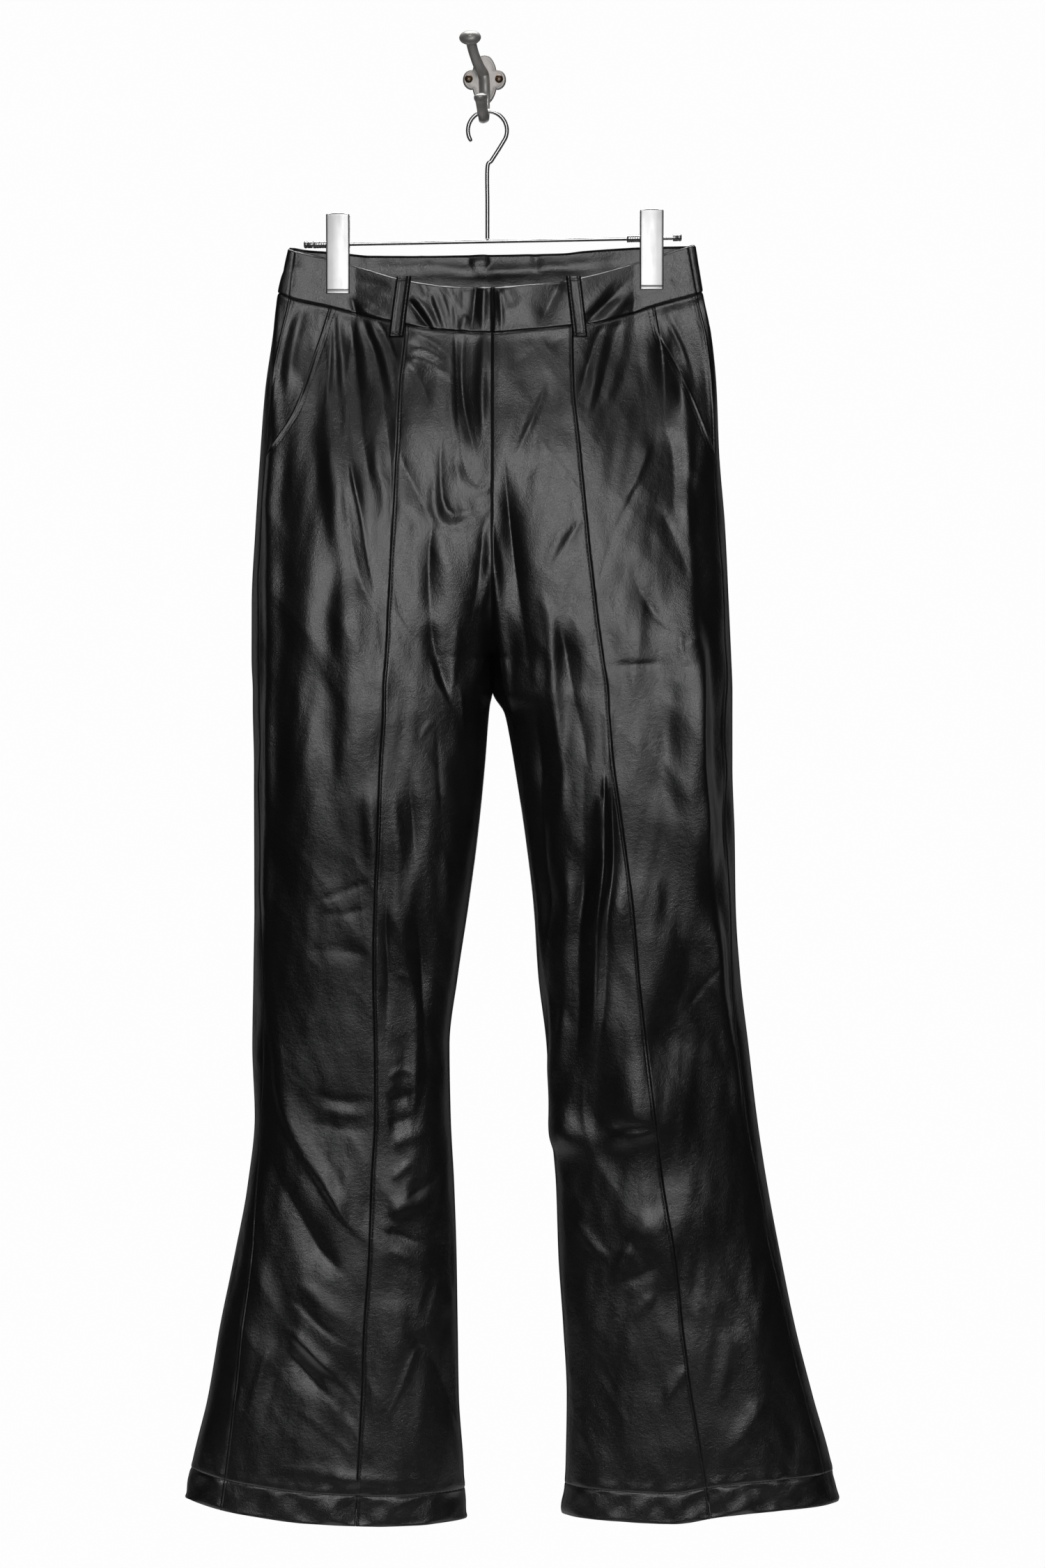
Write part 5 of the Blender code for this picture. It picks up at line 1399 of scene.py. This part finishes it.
FLOOR_CORNERS = ((-0.9, -0.4), (0.9, -0.4), (0.9, 0.65), (-0.9, 0.65))
LIGHTS = (
    # name, width and height, share of the key power, place, the point that it faces
    ("key", (0.52, 2.0), 0.60, (0.05, -3.3, 0.42), (0.05, 0.0, 0.42)),
    ("key_edge", (1.5, 2.45), 0.46, (0.05, -3.31, 0.58), (0.05, 0.0, 0.58)),
    ("wall_glow", (0.4, 1.6), 0.03, (-1.0, 0.55, -0.6), (0.0, -0.05, -0.6)),
    ("wall_glow", (0.4, 1.6), 0.03, (1.1, 0.55, -0.6), (0.0, -0.05, -0.6)),
    ("back_key", (1.6, 2.5), 0.90, (0.05, 3.3, 0.30), (0.05, 0.0, 0.30)),
    ("overhead", (1.6, 1.2), 2.2, (0.0, 0.3, 1.9), (0.0, 0.3, 0.0)),
)
stitch_runs = []


def keep_line(points, normals, distance, wanted):
    """Keeps the line where each row's growing distance passes the wanted value, for stitching."""
    row = np.arange(len(distance))
    first = np.clip((distance < wanted).sum(axis=1) - 1, 0, distance.shape[1] - 2)
    low = distance[row, first]
    share = ((wanted - low) / (distance[row, first + 1] - low))[:, None]
    stitch_runs.append([
        values[row, first] * (1 - share) + values[row, first + 1] * share for values in (points, normals)
    ])


def panel_nodes(name):
    """The solids that stand for one long panel: name_1 and so on from the waist down."""
    return [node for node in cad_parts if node.rpartition("_")[0] == name]


class TROUSERS_OT_legs(bpy.types.Operator):
    """Front centre, front side and back panels of both legs"""

    bl_idname = "trousers.legs"
    bl_label = "Leg panels"

    def execute(self, context):
        sizes = context.scene.trouser_sizes
        near_edge = np.array(EDGE_ROWS)
        near_stitch = (HEM_STITCH + STITCH_ROWS) / LEG_LENGTH
        rows = np.linspace(0.0, 1.0, LEG_ROWS)
        rows = np.unique(np.concatenate([rows, near_edge, 1 - near_edge, 1 - near_stitch]))
        for side in (RIGHT, LEFT):
            line = seams(side)
            word = SIDE_NAMES[side]
            leather = faux_leather("faux_leather_legs_" + word, 1.0 + side)
            for key, start, end, count, crowd in LEG_PIECES:
                cut = cut_grid(
                    side, line[start], line[end], count, crowd, rows, waist_seam, hem_edge(side)
                )
                height = body_relief(cut) + sunk_seam(cut.top, 0.7 * MM, 0.9 * MM)
                height += self.edges(key, cut) + hem_relief(cut)
                wall = np.where(cut.foot < HEM_STITCH, sizes.hem_wall, sizes.wall)
                middle = None if key == "front_side" else cut.end
                points, normals = raised_piece(
                    "cloth_" + key + "_" + word, cut, height, wall, leather,
                    panel_nodes(key + "_" + word), middle,
                )
                self.keep_lines(key, cut, points, normals)
        return {"FINISHED"}

    def edges(self, key, cut):
        """Relief along a panel's two long edges: seams, the pocket's lip and the fly."""
        if key == "back":
            both = sunk_seam(cut.start, 0.6 * MM, 0.6 * MM) + sunk_seam(cut.end, 0.6 * MM, 0.6 * MM)
            return both * seam_fade(cut.turn)
        if key == "front_side":
            pocket = ramp((cut.z - POCKET_END_Z) / (6 * MM))
            lip = 0.6 * MM * bell((cut.start - 1.4 * MM) / (1.3 * MM))
            lip -= 0.12 * MM * bell((cut.start - MOUTH_STITCH) / (0.7 * MM))
            below = (1 - pocket) * edge_stitched(cut.start)
            return pocket * lip + below + sunk_seam(cut.end, 0.5 * MM, 0.5 * MM)
        lap = ramp((cut.z - LAP_END_Z) / (4 * MM))
        middle = sunk_seam(cut.end, 0.8 * MM, 0.7 * MM)
        if cut.side == RIGHT:
            rise = bell(cut.end / (9 * MM)) * (1 - bell(cut.end / (0.7 * MM)))
            off = cut.base[..., 0] - fly_x(cut.z)
            slope = (fly_x(cut.z + FLY_STEP) - fly_x(cut.z - FLY_STEP)) / (2 * FLY_STEP)
            dent = bell(off / np.hypot(1, slope) / (0.8 * MM))
            middle += lap * (1.1 * MM * rise - 0.35 * MM * dent)
        else:
            middle -= lap * 0.5 * MM * bell(cut.end / (4 * MM))
        return edge_stitched(cut.start) + middle * seam_fade(cut.turn)

    def keep_lines(self, key, cut, points, normals):
        """Keeps a panel's stitch lines: hem, panel seam, fly, pocket mouth and its bar tack."""
        keep_line(*[values[::-1].swapaxes(0, 1) for values in (points, normals, cut.foot)], HEM_STITCH)
        if key == "front_centre":
            seam = slice(SEAM_FROM, None)
            keep_line(points[seam], normals[seam], cut.start[seam], EDGE_STITCH)
            if cut.side == RIGHT:
                fly = (cut.z[:, 0] < FLY_STITCH_Z) & (cut.z[:, 0] > FLY_END_Z)
                off = cut.base[..., 0] - fly_x(cut.z)
                keep_line(points[fly], normals[fly], off[fly], 0.0)
        if key == "front_side":
            mouth = slice(MOUTH_FROM, int((cut.z[:, 0] > POCKET_END_Z).sum()))
            keep_line(points[mouth], normals[mouth], cut.start[mouth], MOUTH_STITCH)
            tack = int((cut.top[:, 0] < TACK_DROP).sum())
            wide = int((cut.start[tack] < TACK_WIDTH).sum())
            for row in (tack, tack + 1):
                stitch_runs.append((points[row, 1:wide], normals[row, 1:wide]))


class TROUSERS_OT_pockets(bpy.types.Operator):
    """Pocket facings under the slanted mouths, and the fly facing"""

    bl_idname = "trousers.pockets"
    bl_label = "Pockets and fly"

    def execute(self, context):
        wall = context.scene.trouser_sizes.wall
        rows, count = POCKET_STEPS
        for side in (RIGHT, LEFT):
            line = seams(side)
            word = SIDE_NAMES[side]
            leather = faux_leather("faux_leather_pocket_" + word, 3.0 + side)
            cut = cut_grid(
                side, line["outseam"], line["under_mouth"], count, 0.5, np.linspace(0.0, 1.0, rows),
                waist_seam, lambda x, turn: POCKET_END_Z - POCKET_BELOW,
            )
            height = body_relief(cut) + sunk_seam(cut.top, 0.7 * MM, 0.9 * MM)
            height += edge_stitched(cut.start)
            height -= 1.45 * MM * ramp(cut.start / (7 * MM))
            raised_piece(
                "cloth_pocket_facing_" + word, cut, height, wall, leather,
                ["pocket_facing_" + word],
            )
        rows, count = FLY_STEPS
        cut = cut_grid(
            RIGHT, lambda z: turn_at(RIGHT, fly_x(z), z), seams(RIGHT)["middle"], count, 0.0,
            np.linspace(0.0, 1.0, rows), lambda x, turn: waist_seam(x, turn) - 0.5 * MM,
            lambda x, turn: FLY_END_Z, WAIST_Z,
        )
        raised_piece(
            "cloth_fly_facing", cut, body_relief(cut), 0.9 * MM, faux_leather("faux_leather_fly", 5.0),
            ["fly_facing"], sink=FLY_SINK,
        )
        return {"FINISHED"}


class TROUSERS_OT_waistband(bpy.types.Operator):
    """Two front stretches that lap at the fly, and the back stretch"""

    bl_idname = "trousers.waistband"
    bl_label = "Waistband"

    def relief(self, cut, creases, puckers):
        """Puckers and clip folds on a strip with rolled edges and a side seam."""
        x = cut.base[..., 0]
        height = creases + ripple(x, cut.z, *puckers)
        height *= 1 - 0.85 * grip(x, cut.z) * ramp((cut.z - WAIST_Z) / (12 * MM))
        height += 0.35 * MM + sunk_seam(cut.start, 0.5 * MM, 0.8 * MM)
        return height + sunk_seam(cut.top, 1.0 * MM, 1.0 * MM) + sunk_seam(cut.foot, 1.2 * MM, 1.1 * MM)

    def execute(self, context):
        wall = context.scene.trouser_sizes.band_wall
        levels, count = BAND_STEPS
        rows = np.linspace(0.0, 1.0, levels)
        rows = rows - 0.6 * np.sin(2 * math.pi * rows) / (2 * math.pi)
        backs = []
        for side in (RIGHT, LEFT):
            line = seams(side)
            word = SIDE_NAMES[side]
            leather = faux_leather("faux_leather_band_" + word, 7.0 + side)
            front, back = [
                cut_grid(side, line["outseam"], line[end], count, 0.3, rows, band_top, waist_seam, WAIST_Z)
                for end in ("middle", "centre_back")
            ]
            height = self.relief(front, folds(front.base, BAND_FOLDS), BAND_FRONT_RIPPLE)
            height += sunk_seam(front.end, 1.0 * MM, 0.8 * MM)
            height += BAND_LAP[side] * bell(front.end / (10 * MM))
            raised_piece(
                "cloth_waistband_front_" + word, front, height, wall, leather,
                ["waistband_front_" + word],
            )
            creases = BAND_BACK_SHARE * folds(back.base, BAND_BACK_FOLDS)
            backs.append(raise_grid(back, self.relief(back, creases, BAND_BACK_RIPPLE)))
        points, normals = [
            np.concatenate([right, left[:, -2::-1]], axis=1) for right, left in zip(*backs)
        ]
        inner = points - normals * wall
        cloth_piece(
            "cloth_waistband_back", points, inner, points, faux_leather("faux_leather_band_back", 9.0),
            ["waistband_back"],
        )
        edge = int(np.argmin(np.abs(back.top[:, BAND_COLUMN] - BAND_STITCH)))
        stitch_runs.append((inner[edge], -normals[edge]))
        stitch_runs.append((points[edge], normals[edge]))
        return {"FINISHED"}


class TROUSERS_OT_belt_loops(bpy.types.Operator):
    """Strips over the band, with rolled sides and stitched ends"""

    bl_idname = "trousers.belt_loops"
    bl_label = "Belt loops"

    def execute(self, context):
        width = context.scene.trouser_sizes.loop_width
        leather = faux_leather("faux_leather_loops", 11.0)
        rows, count = LOOP_GRID
        along = np.linspace(0.0, 1.0, rows)[:, None]
        across = np.linspace(-0.5, 0.5, count)[None, :]
        rolls = 0.75 * MM * bell((np.abs(across) - 0.34) / 0.10)
        rounding = -0.9 * MM * bell((np.abs(across) - 0.5) / 0.05)
        bow = (1.2 + 1.1 * np.sin(math.pi * along)) * MM
        ends = -0.5 * MM * (bell((along - 0.055) / 0.018) + bell((along - 0.945) / 0.018))
        height = bow + 1.2 * MM + rolls + rounding + ends
        for name, side, face, x_top, x_foot, z_top, z_foot in LOOPS:
            z = z_top + (z_foot - z_top) * along + 0 * across
            x = x_top + (x_foot - x_top) * along + across * width
            points, normals = raise_grid(Grid(side, face * turn_at(side, x, z), z), 0 * z)
            outer = points + normals * height[..., None]
            inner = points + normals * (bow - 0.4 * MM + 0 * across)[..., None]
            cloth_piece(
                "cloth_belt_loop_" + name, outer, inner, outer, leather, ["belt_loop_" + name]
            )
            for column in LOOP_STITCH_COLUMNS:
                stitch_runs.append((outer[2:-2, column], normals[2:-2, column]))
            for row in LOOP_STITCH_ROWS:
                stitch_runs.append((outer[row, 4:-4], normals[row, 4:-4]))
        return {"FINISHED"}


class TROUSERS_OT_sewing(bpy.types.Operator):
    """All stitch rows that the panels, band and loops have kept, as threads"""

    bl_idname = "trousers.sewing"
    bl_label = "Sewing"

    def execute(self, context):
        if not stitch_runs:
            raise RuntimeError("make the cloth first")
        stitches("sewing_thread", stitch_runs, thread())
        stitch_runs.clear()
        return {"FINISHED"}


def bar_point(x):
    """A point on the hanger bar's axis."""
    low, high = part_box("hanger_bar")
    share = (x - low[0]) / (high[0] - low[0])
    return np.array([x, HANG_Y, low[2] + WIRE + (high[2] - low[2] - 2 * WIRE) * share])


def steel_piece(name, mesh, material, node, sharp=40):
    """One piece of the hanger, in place of its solid."""
    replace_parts(clean_object(name, [mesh], material, sharp), node)


class TROUSERS_OT_hanger(bpy.types.Operator):
    """Wire hook, bar with caps, and two clips of bent plate"""

    bl_idname = "trousers.hanger"
    bl_label = "Clip hanger"

    def execute(self, context):
        colour = tuple(context.scene.trouser_finish.steel_colour)
        steel = metal("satin_steel", colour, 0.38, 260.0, 0.02, 6.0)
        wire = metal("polished_wire", colour, 0.30, 400.0, 0.01)
        path = np.stack([bar_point(x) for x in np.linspace(*BAR_ENDS, 60)])
        steel_piece("steel_bar", tube_mesh(path, WIRE, 24), wire, "hanger_bar")
        direction = path_frame(path)[0]
        profile = np.array(CAP_PROFILE) * MM
        for name, place, axis in (
            ("bar_cap_right", path[0], -direction),
            ("bar_cap_left", path[-1], direction),
        ):
            steel_piece("steel_" + name, turned_mesh(profile, place, axis, TURNED_SIDES), wire, name)
        self.hook(wire)
        for i, word in enumerate(("right", "left")):
            self.clip(i, word, steel)
            self.sleeve(CLIPS["x"][i], word, wire)
        return {"FINISHED"}

    def hook(self, material):
        """The wire hook: a straight stem, a neck bend and 250 degrees of a circle above it."""
        low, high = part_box("hanger_hook")
        radius = 16.5 * MM
        x = 3.0 * MM
        z = high[2] - WIRE - radius
        neck = z - 1.9 * radius
        path = [(x, low[2]), (x, (low[2] + neck) / 2), (x, neck)]
        path += [(x + 3.5 * MM, neck + 6 * MM), (x + 9.5 * MM, z - 0.97 * radius)]
        for degrees in range(-38, 216, 18):
            angle = math.radians(degrees)
            path.append((x + radius * math.cos(angle), z + radius * math.sin(angle)))
        curve = close_path(path, 160)
        points = np.stack([curve[:, 0], np.full(len(curve), HANG_Y), curve[:, 1]], axis=1)
        round_end = np.sqrt(np.linspace(40, 0, 160).clip(0, 1))
        radii = WIRE * (0.55 + 0.45 * round_end)
        steel_piece("steel_wire_hook", tube_mesh(points, radii, 20), material, "hanger_hook")

    def clip(self, i, word, steel):
        """Front and back plate of a clip: a bent section, rolled back at the top, with a lip."""
        centre_x, top, bottom = (CLIPS[key][i] for key in CLIP_NAMES)
        height = top - bottom
        turn = np.linspace(0, math.pi / 2, 8)
        bent = [-CLIP_HALF + CLIP_BEND * (1 - np.cos(turn)), CLIP_BEND * (1 - np.sin(turn))]
        left = np.stack(bent, axis=1)
        flat = np.linspace(-CLIP_HALF + CLIP_BEND, CLIP_HALF - CLIP_BEND, 19)[1:-1]
        section = np.concatenate([left, np.stack([flat, 0 * flat], axis=1), left[::-1] * [-1, 1]])
        across = section[:, 0] / CLIP_HALF
        down = np.concatenate([
            np.linspace(0, 5 * MM, 18),
            np.linspace(6 * MM, height - 4 * MM, 17),
            np.linspace(height - 3.6 * MM, height, 12),
        ])[:, None]
        gap = np.interp(down, *(np.array(CLIP_GAP) * MM).T)
        rolled = np.clip(1 - down / CLIP_ROLL, 0, 1)
        back_off = CLIP_ROLL * (1 - np.sqrt(np.clip(1 - rolled**2, 0, 1))) * 0.9
        lip = 0.2 * MM * bell((height - down) / (1.6 * MM))
        lip -= 0.35 * MM * bell((height - down - 2.4 * MM) / (0.5 * MM))
        crown = 0.45 * MM * np.cos(across * math.pi / 2)
        top_dip = np.clip(1 - down / (2.5 * MM), 0, 1) * np.abs(across) ** 3
        out = gap + 1.2 * MM + crown + lip - back_off - section[:, 1] * 1.6
        x = centre_x + section[:, 0] * (1 - 0.10 * np.clip(1 - down / (3 * MM), 0, 1) ** 2)
        z = top - down - 1.6 * MM * top_dip + 0 * x
        for face, name in ((-1, "front"), (1, "back")):
            outer = np.stack([x, HANG_Y + face * out, z], axis=-1)
            normal = np.cross(np.gradient(outer, axis=1), np.gradient(outer, axis=0))
            normal /= np.linalg.norm(normal, axis=2, keepdims=True)
            normal *= np.sign(normal[20, 15, 1] * face)
            mesh = shell_mesh(outer, outer - normal * CLIP_WALL, False)
            node = "clip_" + word + "_plate_" + name
            steel_piece("steel_clip_" + word + "_" + name, mesh, steel, node, 60)

    def sleeve(self, centre_x, word, wire):
        """The ribbed sleeve round the bar, between a clip's plates."""
        start = bar_point(centre_x - SLEEVE_REACH)
        axis = bar_point(centre_x) - start
        rings = [(0.0, 2.05), (0.0, 3.0), (0.3, 3.2)]
        for rib in range(2, 28, 2):
            rings += [(rib + 0.6, 3.2), (rib + 1.0, 2.85), (rib + 1.4, 3.2)]
        rings += [(28.7, 3.2), (29.0, 3.0), (29.0, 2.05)]
        mesh = turned_mesh(np.array(rings) * MM, start, axis, TURNED_SIDES)
        steel_piece("steel_sleeve_" + word, mesh, wire, "clip_" + word + "_sleeve")


class TROUSERS_OT_wall_hook(bpy.types.Operator):
    """Lobed plate, two cross-slot screws, and the cast prongs"""

    bl_idname = "trousers.wall_hook"
    bl_label = "Wall hook"

    def execute(self, context):
        colour = tuple(context.scene.trouser_finish.cast_colour)
        cast = metal("satin_casting", colour, 0.42, 420.0, 0.16, 1.0, 0.5)
        bronze = metal("dull_bronze", BRONZE, 0.36, 900.0, 0.03)
        self.plate(cast)
        for name in ("screw_right", "screw_left"):
            self.screw(name, bronze)
        fine = close_path(PRONG_ROWS, 200)
        mesh = tube_mesh(fine[:, :3], np.maximum(fine[:, 3], PRONG_TIP), 28, 1.45)
        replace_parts(clean_object("cast_prongs", [mesh], cast), "wall_hook_prongs")
        return {"FINISHED"}

    def plate(self, cast):
        """An upright lobe and two ears: (u^8 + e^8)^(1/8), in rings from the wall to the front."""
        half_x, half_z = PLATE_HALF
        angle = np.arange(PLATE_SIDES) * 2 * math.pi / PLATE_SIDES
        cosine = np.cos(angle)
        sine = np.sin(angle)
        upright = 1 / np.hypot(cosine / 0.60, sine)
        within = np.clip(0.42**2 - (0.58 * sine * half_z / half_x) ** 2, 0, 1)
        ears = (0.58 * np.abs(cosine) + np.sqrt(within)) * ramp(within / 0.04)
        lobes = (upright**8 + ears**8) ** (1 / 8)
        out, share = np.array(PLATE_RINGS).T[..., None]
        x = half_x * share * lobes * cosine
        z = half_z * share * lobes * sine
        points = np.stack([x, -out * MM + 0 * x, z], axis=-1).reshape(-1, 3)
        index = np.arange(len(points)).reshape(-1, PLATE_SIDES)
        faces = quads(np.concatenate([index, index[:, :1]], axis=1)).tolist()
        faces += [index[0].tolist(), index[-1].tolist()]
        plate = clean_object("cast_plate", [(points, faces)], cast, 35)
        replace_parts(plate, "wall_plate")

    def screw(self, name, material):
        """A domed head: y = -h (1 - 0.92 r^2)^0.5, less a cross-shaped recess."""
        low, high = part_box(name)
        radius = (high[0] - low[0]) / 2
        centre = np.array([(low[0] + high[0]) / 2, high[1], (low[2] + high[2]) / 2])
        angle = np.arange(SCREW_SIDES) * 2 * math.pi / SCREW_SIDES
        share, around = np.meshgrid(np.linspace(0, 1, SCREW_RINGS), angle, indexing="ij")
        x = radius * share * np.cos(around)
        z = radius * share * np.sin(around)
        u = x * math.cos(SCREW_TILT) + z * math.sin(SCREW_TILT)
        v = z * math.cos(SCREW_TILT) - x * math.sin(SCREW_TILT)
        slots = [
            ramp((0.50 * MM - np.abs(narrow)) / (0.18 * MM)) * ramp((2.2 * MM - np.abs(wide)) / (0.4 * MM))
            for narrow, wide in ((u, v), (v, u))
        ]
        dome = (high[1] - low[1]) * np.sqrt(np.clip(1 - 0.92 * share**2, 0, 1))
        dome = dome - 1.0 * MM * np.maximum(*slots)
        head = np.stack([x, -dome, z], axis=-1)
        foot = np.stack([x[-1:], 0 * x[-1:], z[-1:]], axis=-1)
        points = centre + np.concatenate([head, foot]).reshape(-1, 3)
        index = np.arange(len(points)).reshape(-1, SCREW_SIDES)
        faces = quads(np.concatenate([index, index[:, :1]], axis=1)).tolist()
        faces.append(index[-1].tolist())
        made = clean_object("bronze_" + name, [(points, faces)], material, 35)
        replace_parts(made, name)


class TROUSERS_OT_stage(bpy.types.Operator):
    """Pale floor, soft lights and the camera"""

    bl_idname = "trousers.stage"
    bl_label = "Studio stage"

    def execute(self, context):
        settings = context.scene.trouser_stage
        self.camera(context.scene)
        self.floor(context.scene, settings.floor_drop)
        self.room(context.scene, settings.room_light)
        for name, size, share, place, faced in LIGHTS:
            self.light(name, size, share * settings.key_power, place, faced)
        context.scene.view_settings.view_transform = "Standard"
        context.scene.view_settings.look = "None"
        return {"FINISHED"}

    def camera(self, scene):
        """The photograph's camera: level, and square to the wall."""
        data = bpy.data.cameras.new("camera")
        data.sensor_fit = "VERTICAL"
        data.sensor_height = 36.0
        data.lens = data.sensor_height / (PHOTO_SIZE[1] * PIXEL_PER_METRE)
        item = bpy.data.objects.new("camera", data)
        item.location = CAMERA
        item.rotation_euler = (math.pi / 2, 0, 0)
        scene.collection.objects.link(item)
        scene.camera = item

    def floor(self, scene, height):
        """A small pale floor under the hems."""
        material = bpy.data.materials.new("pale_floor")
        material.use_nodes = True
        surface = material.node_tree.nodes["Principled BSDF"]
        set_inputs(surface, {"Base Color": (0.92, 0.92, 0.92, 1), "Roughness": 0.6})
        mesh = bpy.data.meshes.new("floor")
        mesh.from_pydata([(x, y, height) for x, y in FLOOR_CORNERS], [], [(0, 1, 2, 3)])
        mesh.materials.append(material)
        item = bpy.data.objects.new("floor", mesh)
        scene.collection.objects.link(item)

    def room(self, scene, strength):
        """A near-white background for the camera, and a dim cool light for all else."""
        world = bpy.data.worlds.new("pale_room")
        world.use_nodes = True
        scene.world = world
        tree = world.node_tree
        tree.nodes.clear()
        output = tree.nodes.new("ShaderNodeOutputWorld")
        seen = tree.nodes.new("ShaderNodeBackground")
        lit = tree.nodes.new("ShaderNodeBackground")
        mix = tree.nodes.new("ShaderNodeMixShader")
        path = tree.nodes.new("ShaderNodeLightPath")
        set_inputs(seen, {"Color": (0.985, 0.985, 0.985, 1), "Strength": 1.0})
        set_inputs(lit, {"Color": (0.93, 0.95, 1.0, 1), "Strength": strength})
        tree.links.new(path.outputs["Is Camera Ray"], mix.inputs["Fac"])
        tree.links.new(lit.outputs[0], mix.inputs[1])
        tree.links.new(seen.outputs[0], mix.inputs[2])
        tree.links.new(mix.outputs[0], output.inputs["Surface"])

    def light(self, name, size, power, place, faced):
        """A rectangular soft light that faces a point."""
        data = bpy.data.lights.new(name, "AREA")
        data.shape = "RECTANGLE"
        data.size, data.size_y = size
        data.energy = power
        item = bpy.data.objects.new(name, data)
        item.location = place
        item.visible_camera = False
        item.rotation_euler = (Vector(faced) - Vector(place)).to_track_quat("-Z", "Y").to_euler()
        bpy.context.scene.collection.objects.link(item)


class TROUSERS_PT_panel(bpy.types.Panel):
    """All the operators and settings, in the sidebar"""

    bl_label = "Trousers"
    bl_space_type = "VIEW_3D"
    bl_region_type = "UI"
    bl_category = "Trousers"

    def draw(self, context):
        for group in ("trouser_sizes", "trouser_finish", "trouser_stage"):
            settings = getattr(context.scene, group)
            box = self.layout.box()
            for key in settings.__annotations__:
                box.prop(settings, key)
        for operator in OPERATORS:
            self.layout.operator(operator.bl_idname)


GROUPS = {"trouser_sizes": TrouserSizes, "trouser_finish": TrouserFinish, "trouser_stage": StageSettings}
OPERATORS = (
    TROUSERS_OT_stage,
    TROUSERS_OT_legs,
    TROUSERS_OT_pockets,
    TROUSERS_OT_waistband,
    TROUSERS_OT_belt_loops,
    TROUSERS_OT_sewing,
    TROUSERS_OT_hanger,
    TROUSERS_OT_wall_hook,
)


def register():
    """Registers the settings, operators and panel."""
    for name, group in GROUPS.items():
        bpy.utils.register_class(group)
        setattr(bpy.types.Scene, name, PointerProperty(type=group))
    for operator in OPERATORS:
        bpy.utils.register_class(operator)
    bpy.utils.register_class(TROUSERS_PT_panel)


def unregister():
    """Removes what register added."""
    bpy.utils.unregister_class(TROUSERS_PT_panel)
    for operator in reversed(OPERATORS):
        bpy.utils.unregister_class(operator)
    for name, group in GROUPS.items():
        delattr(bpy.types.Scene, name)
        bpy.utils.unregister_class(group)


def main():
    """Builds everything in order."""
    register()
    for operator in OPERATORS:
        group, name = operator.bl_idname.split(".")
        getattr(getattr(bpy.ops, group), name)()


if __name__ == "__main__":
    main()
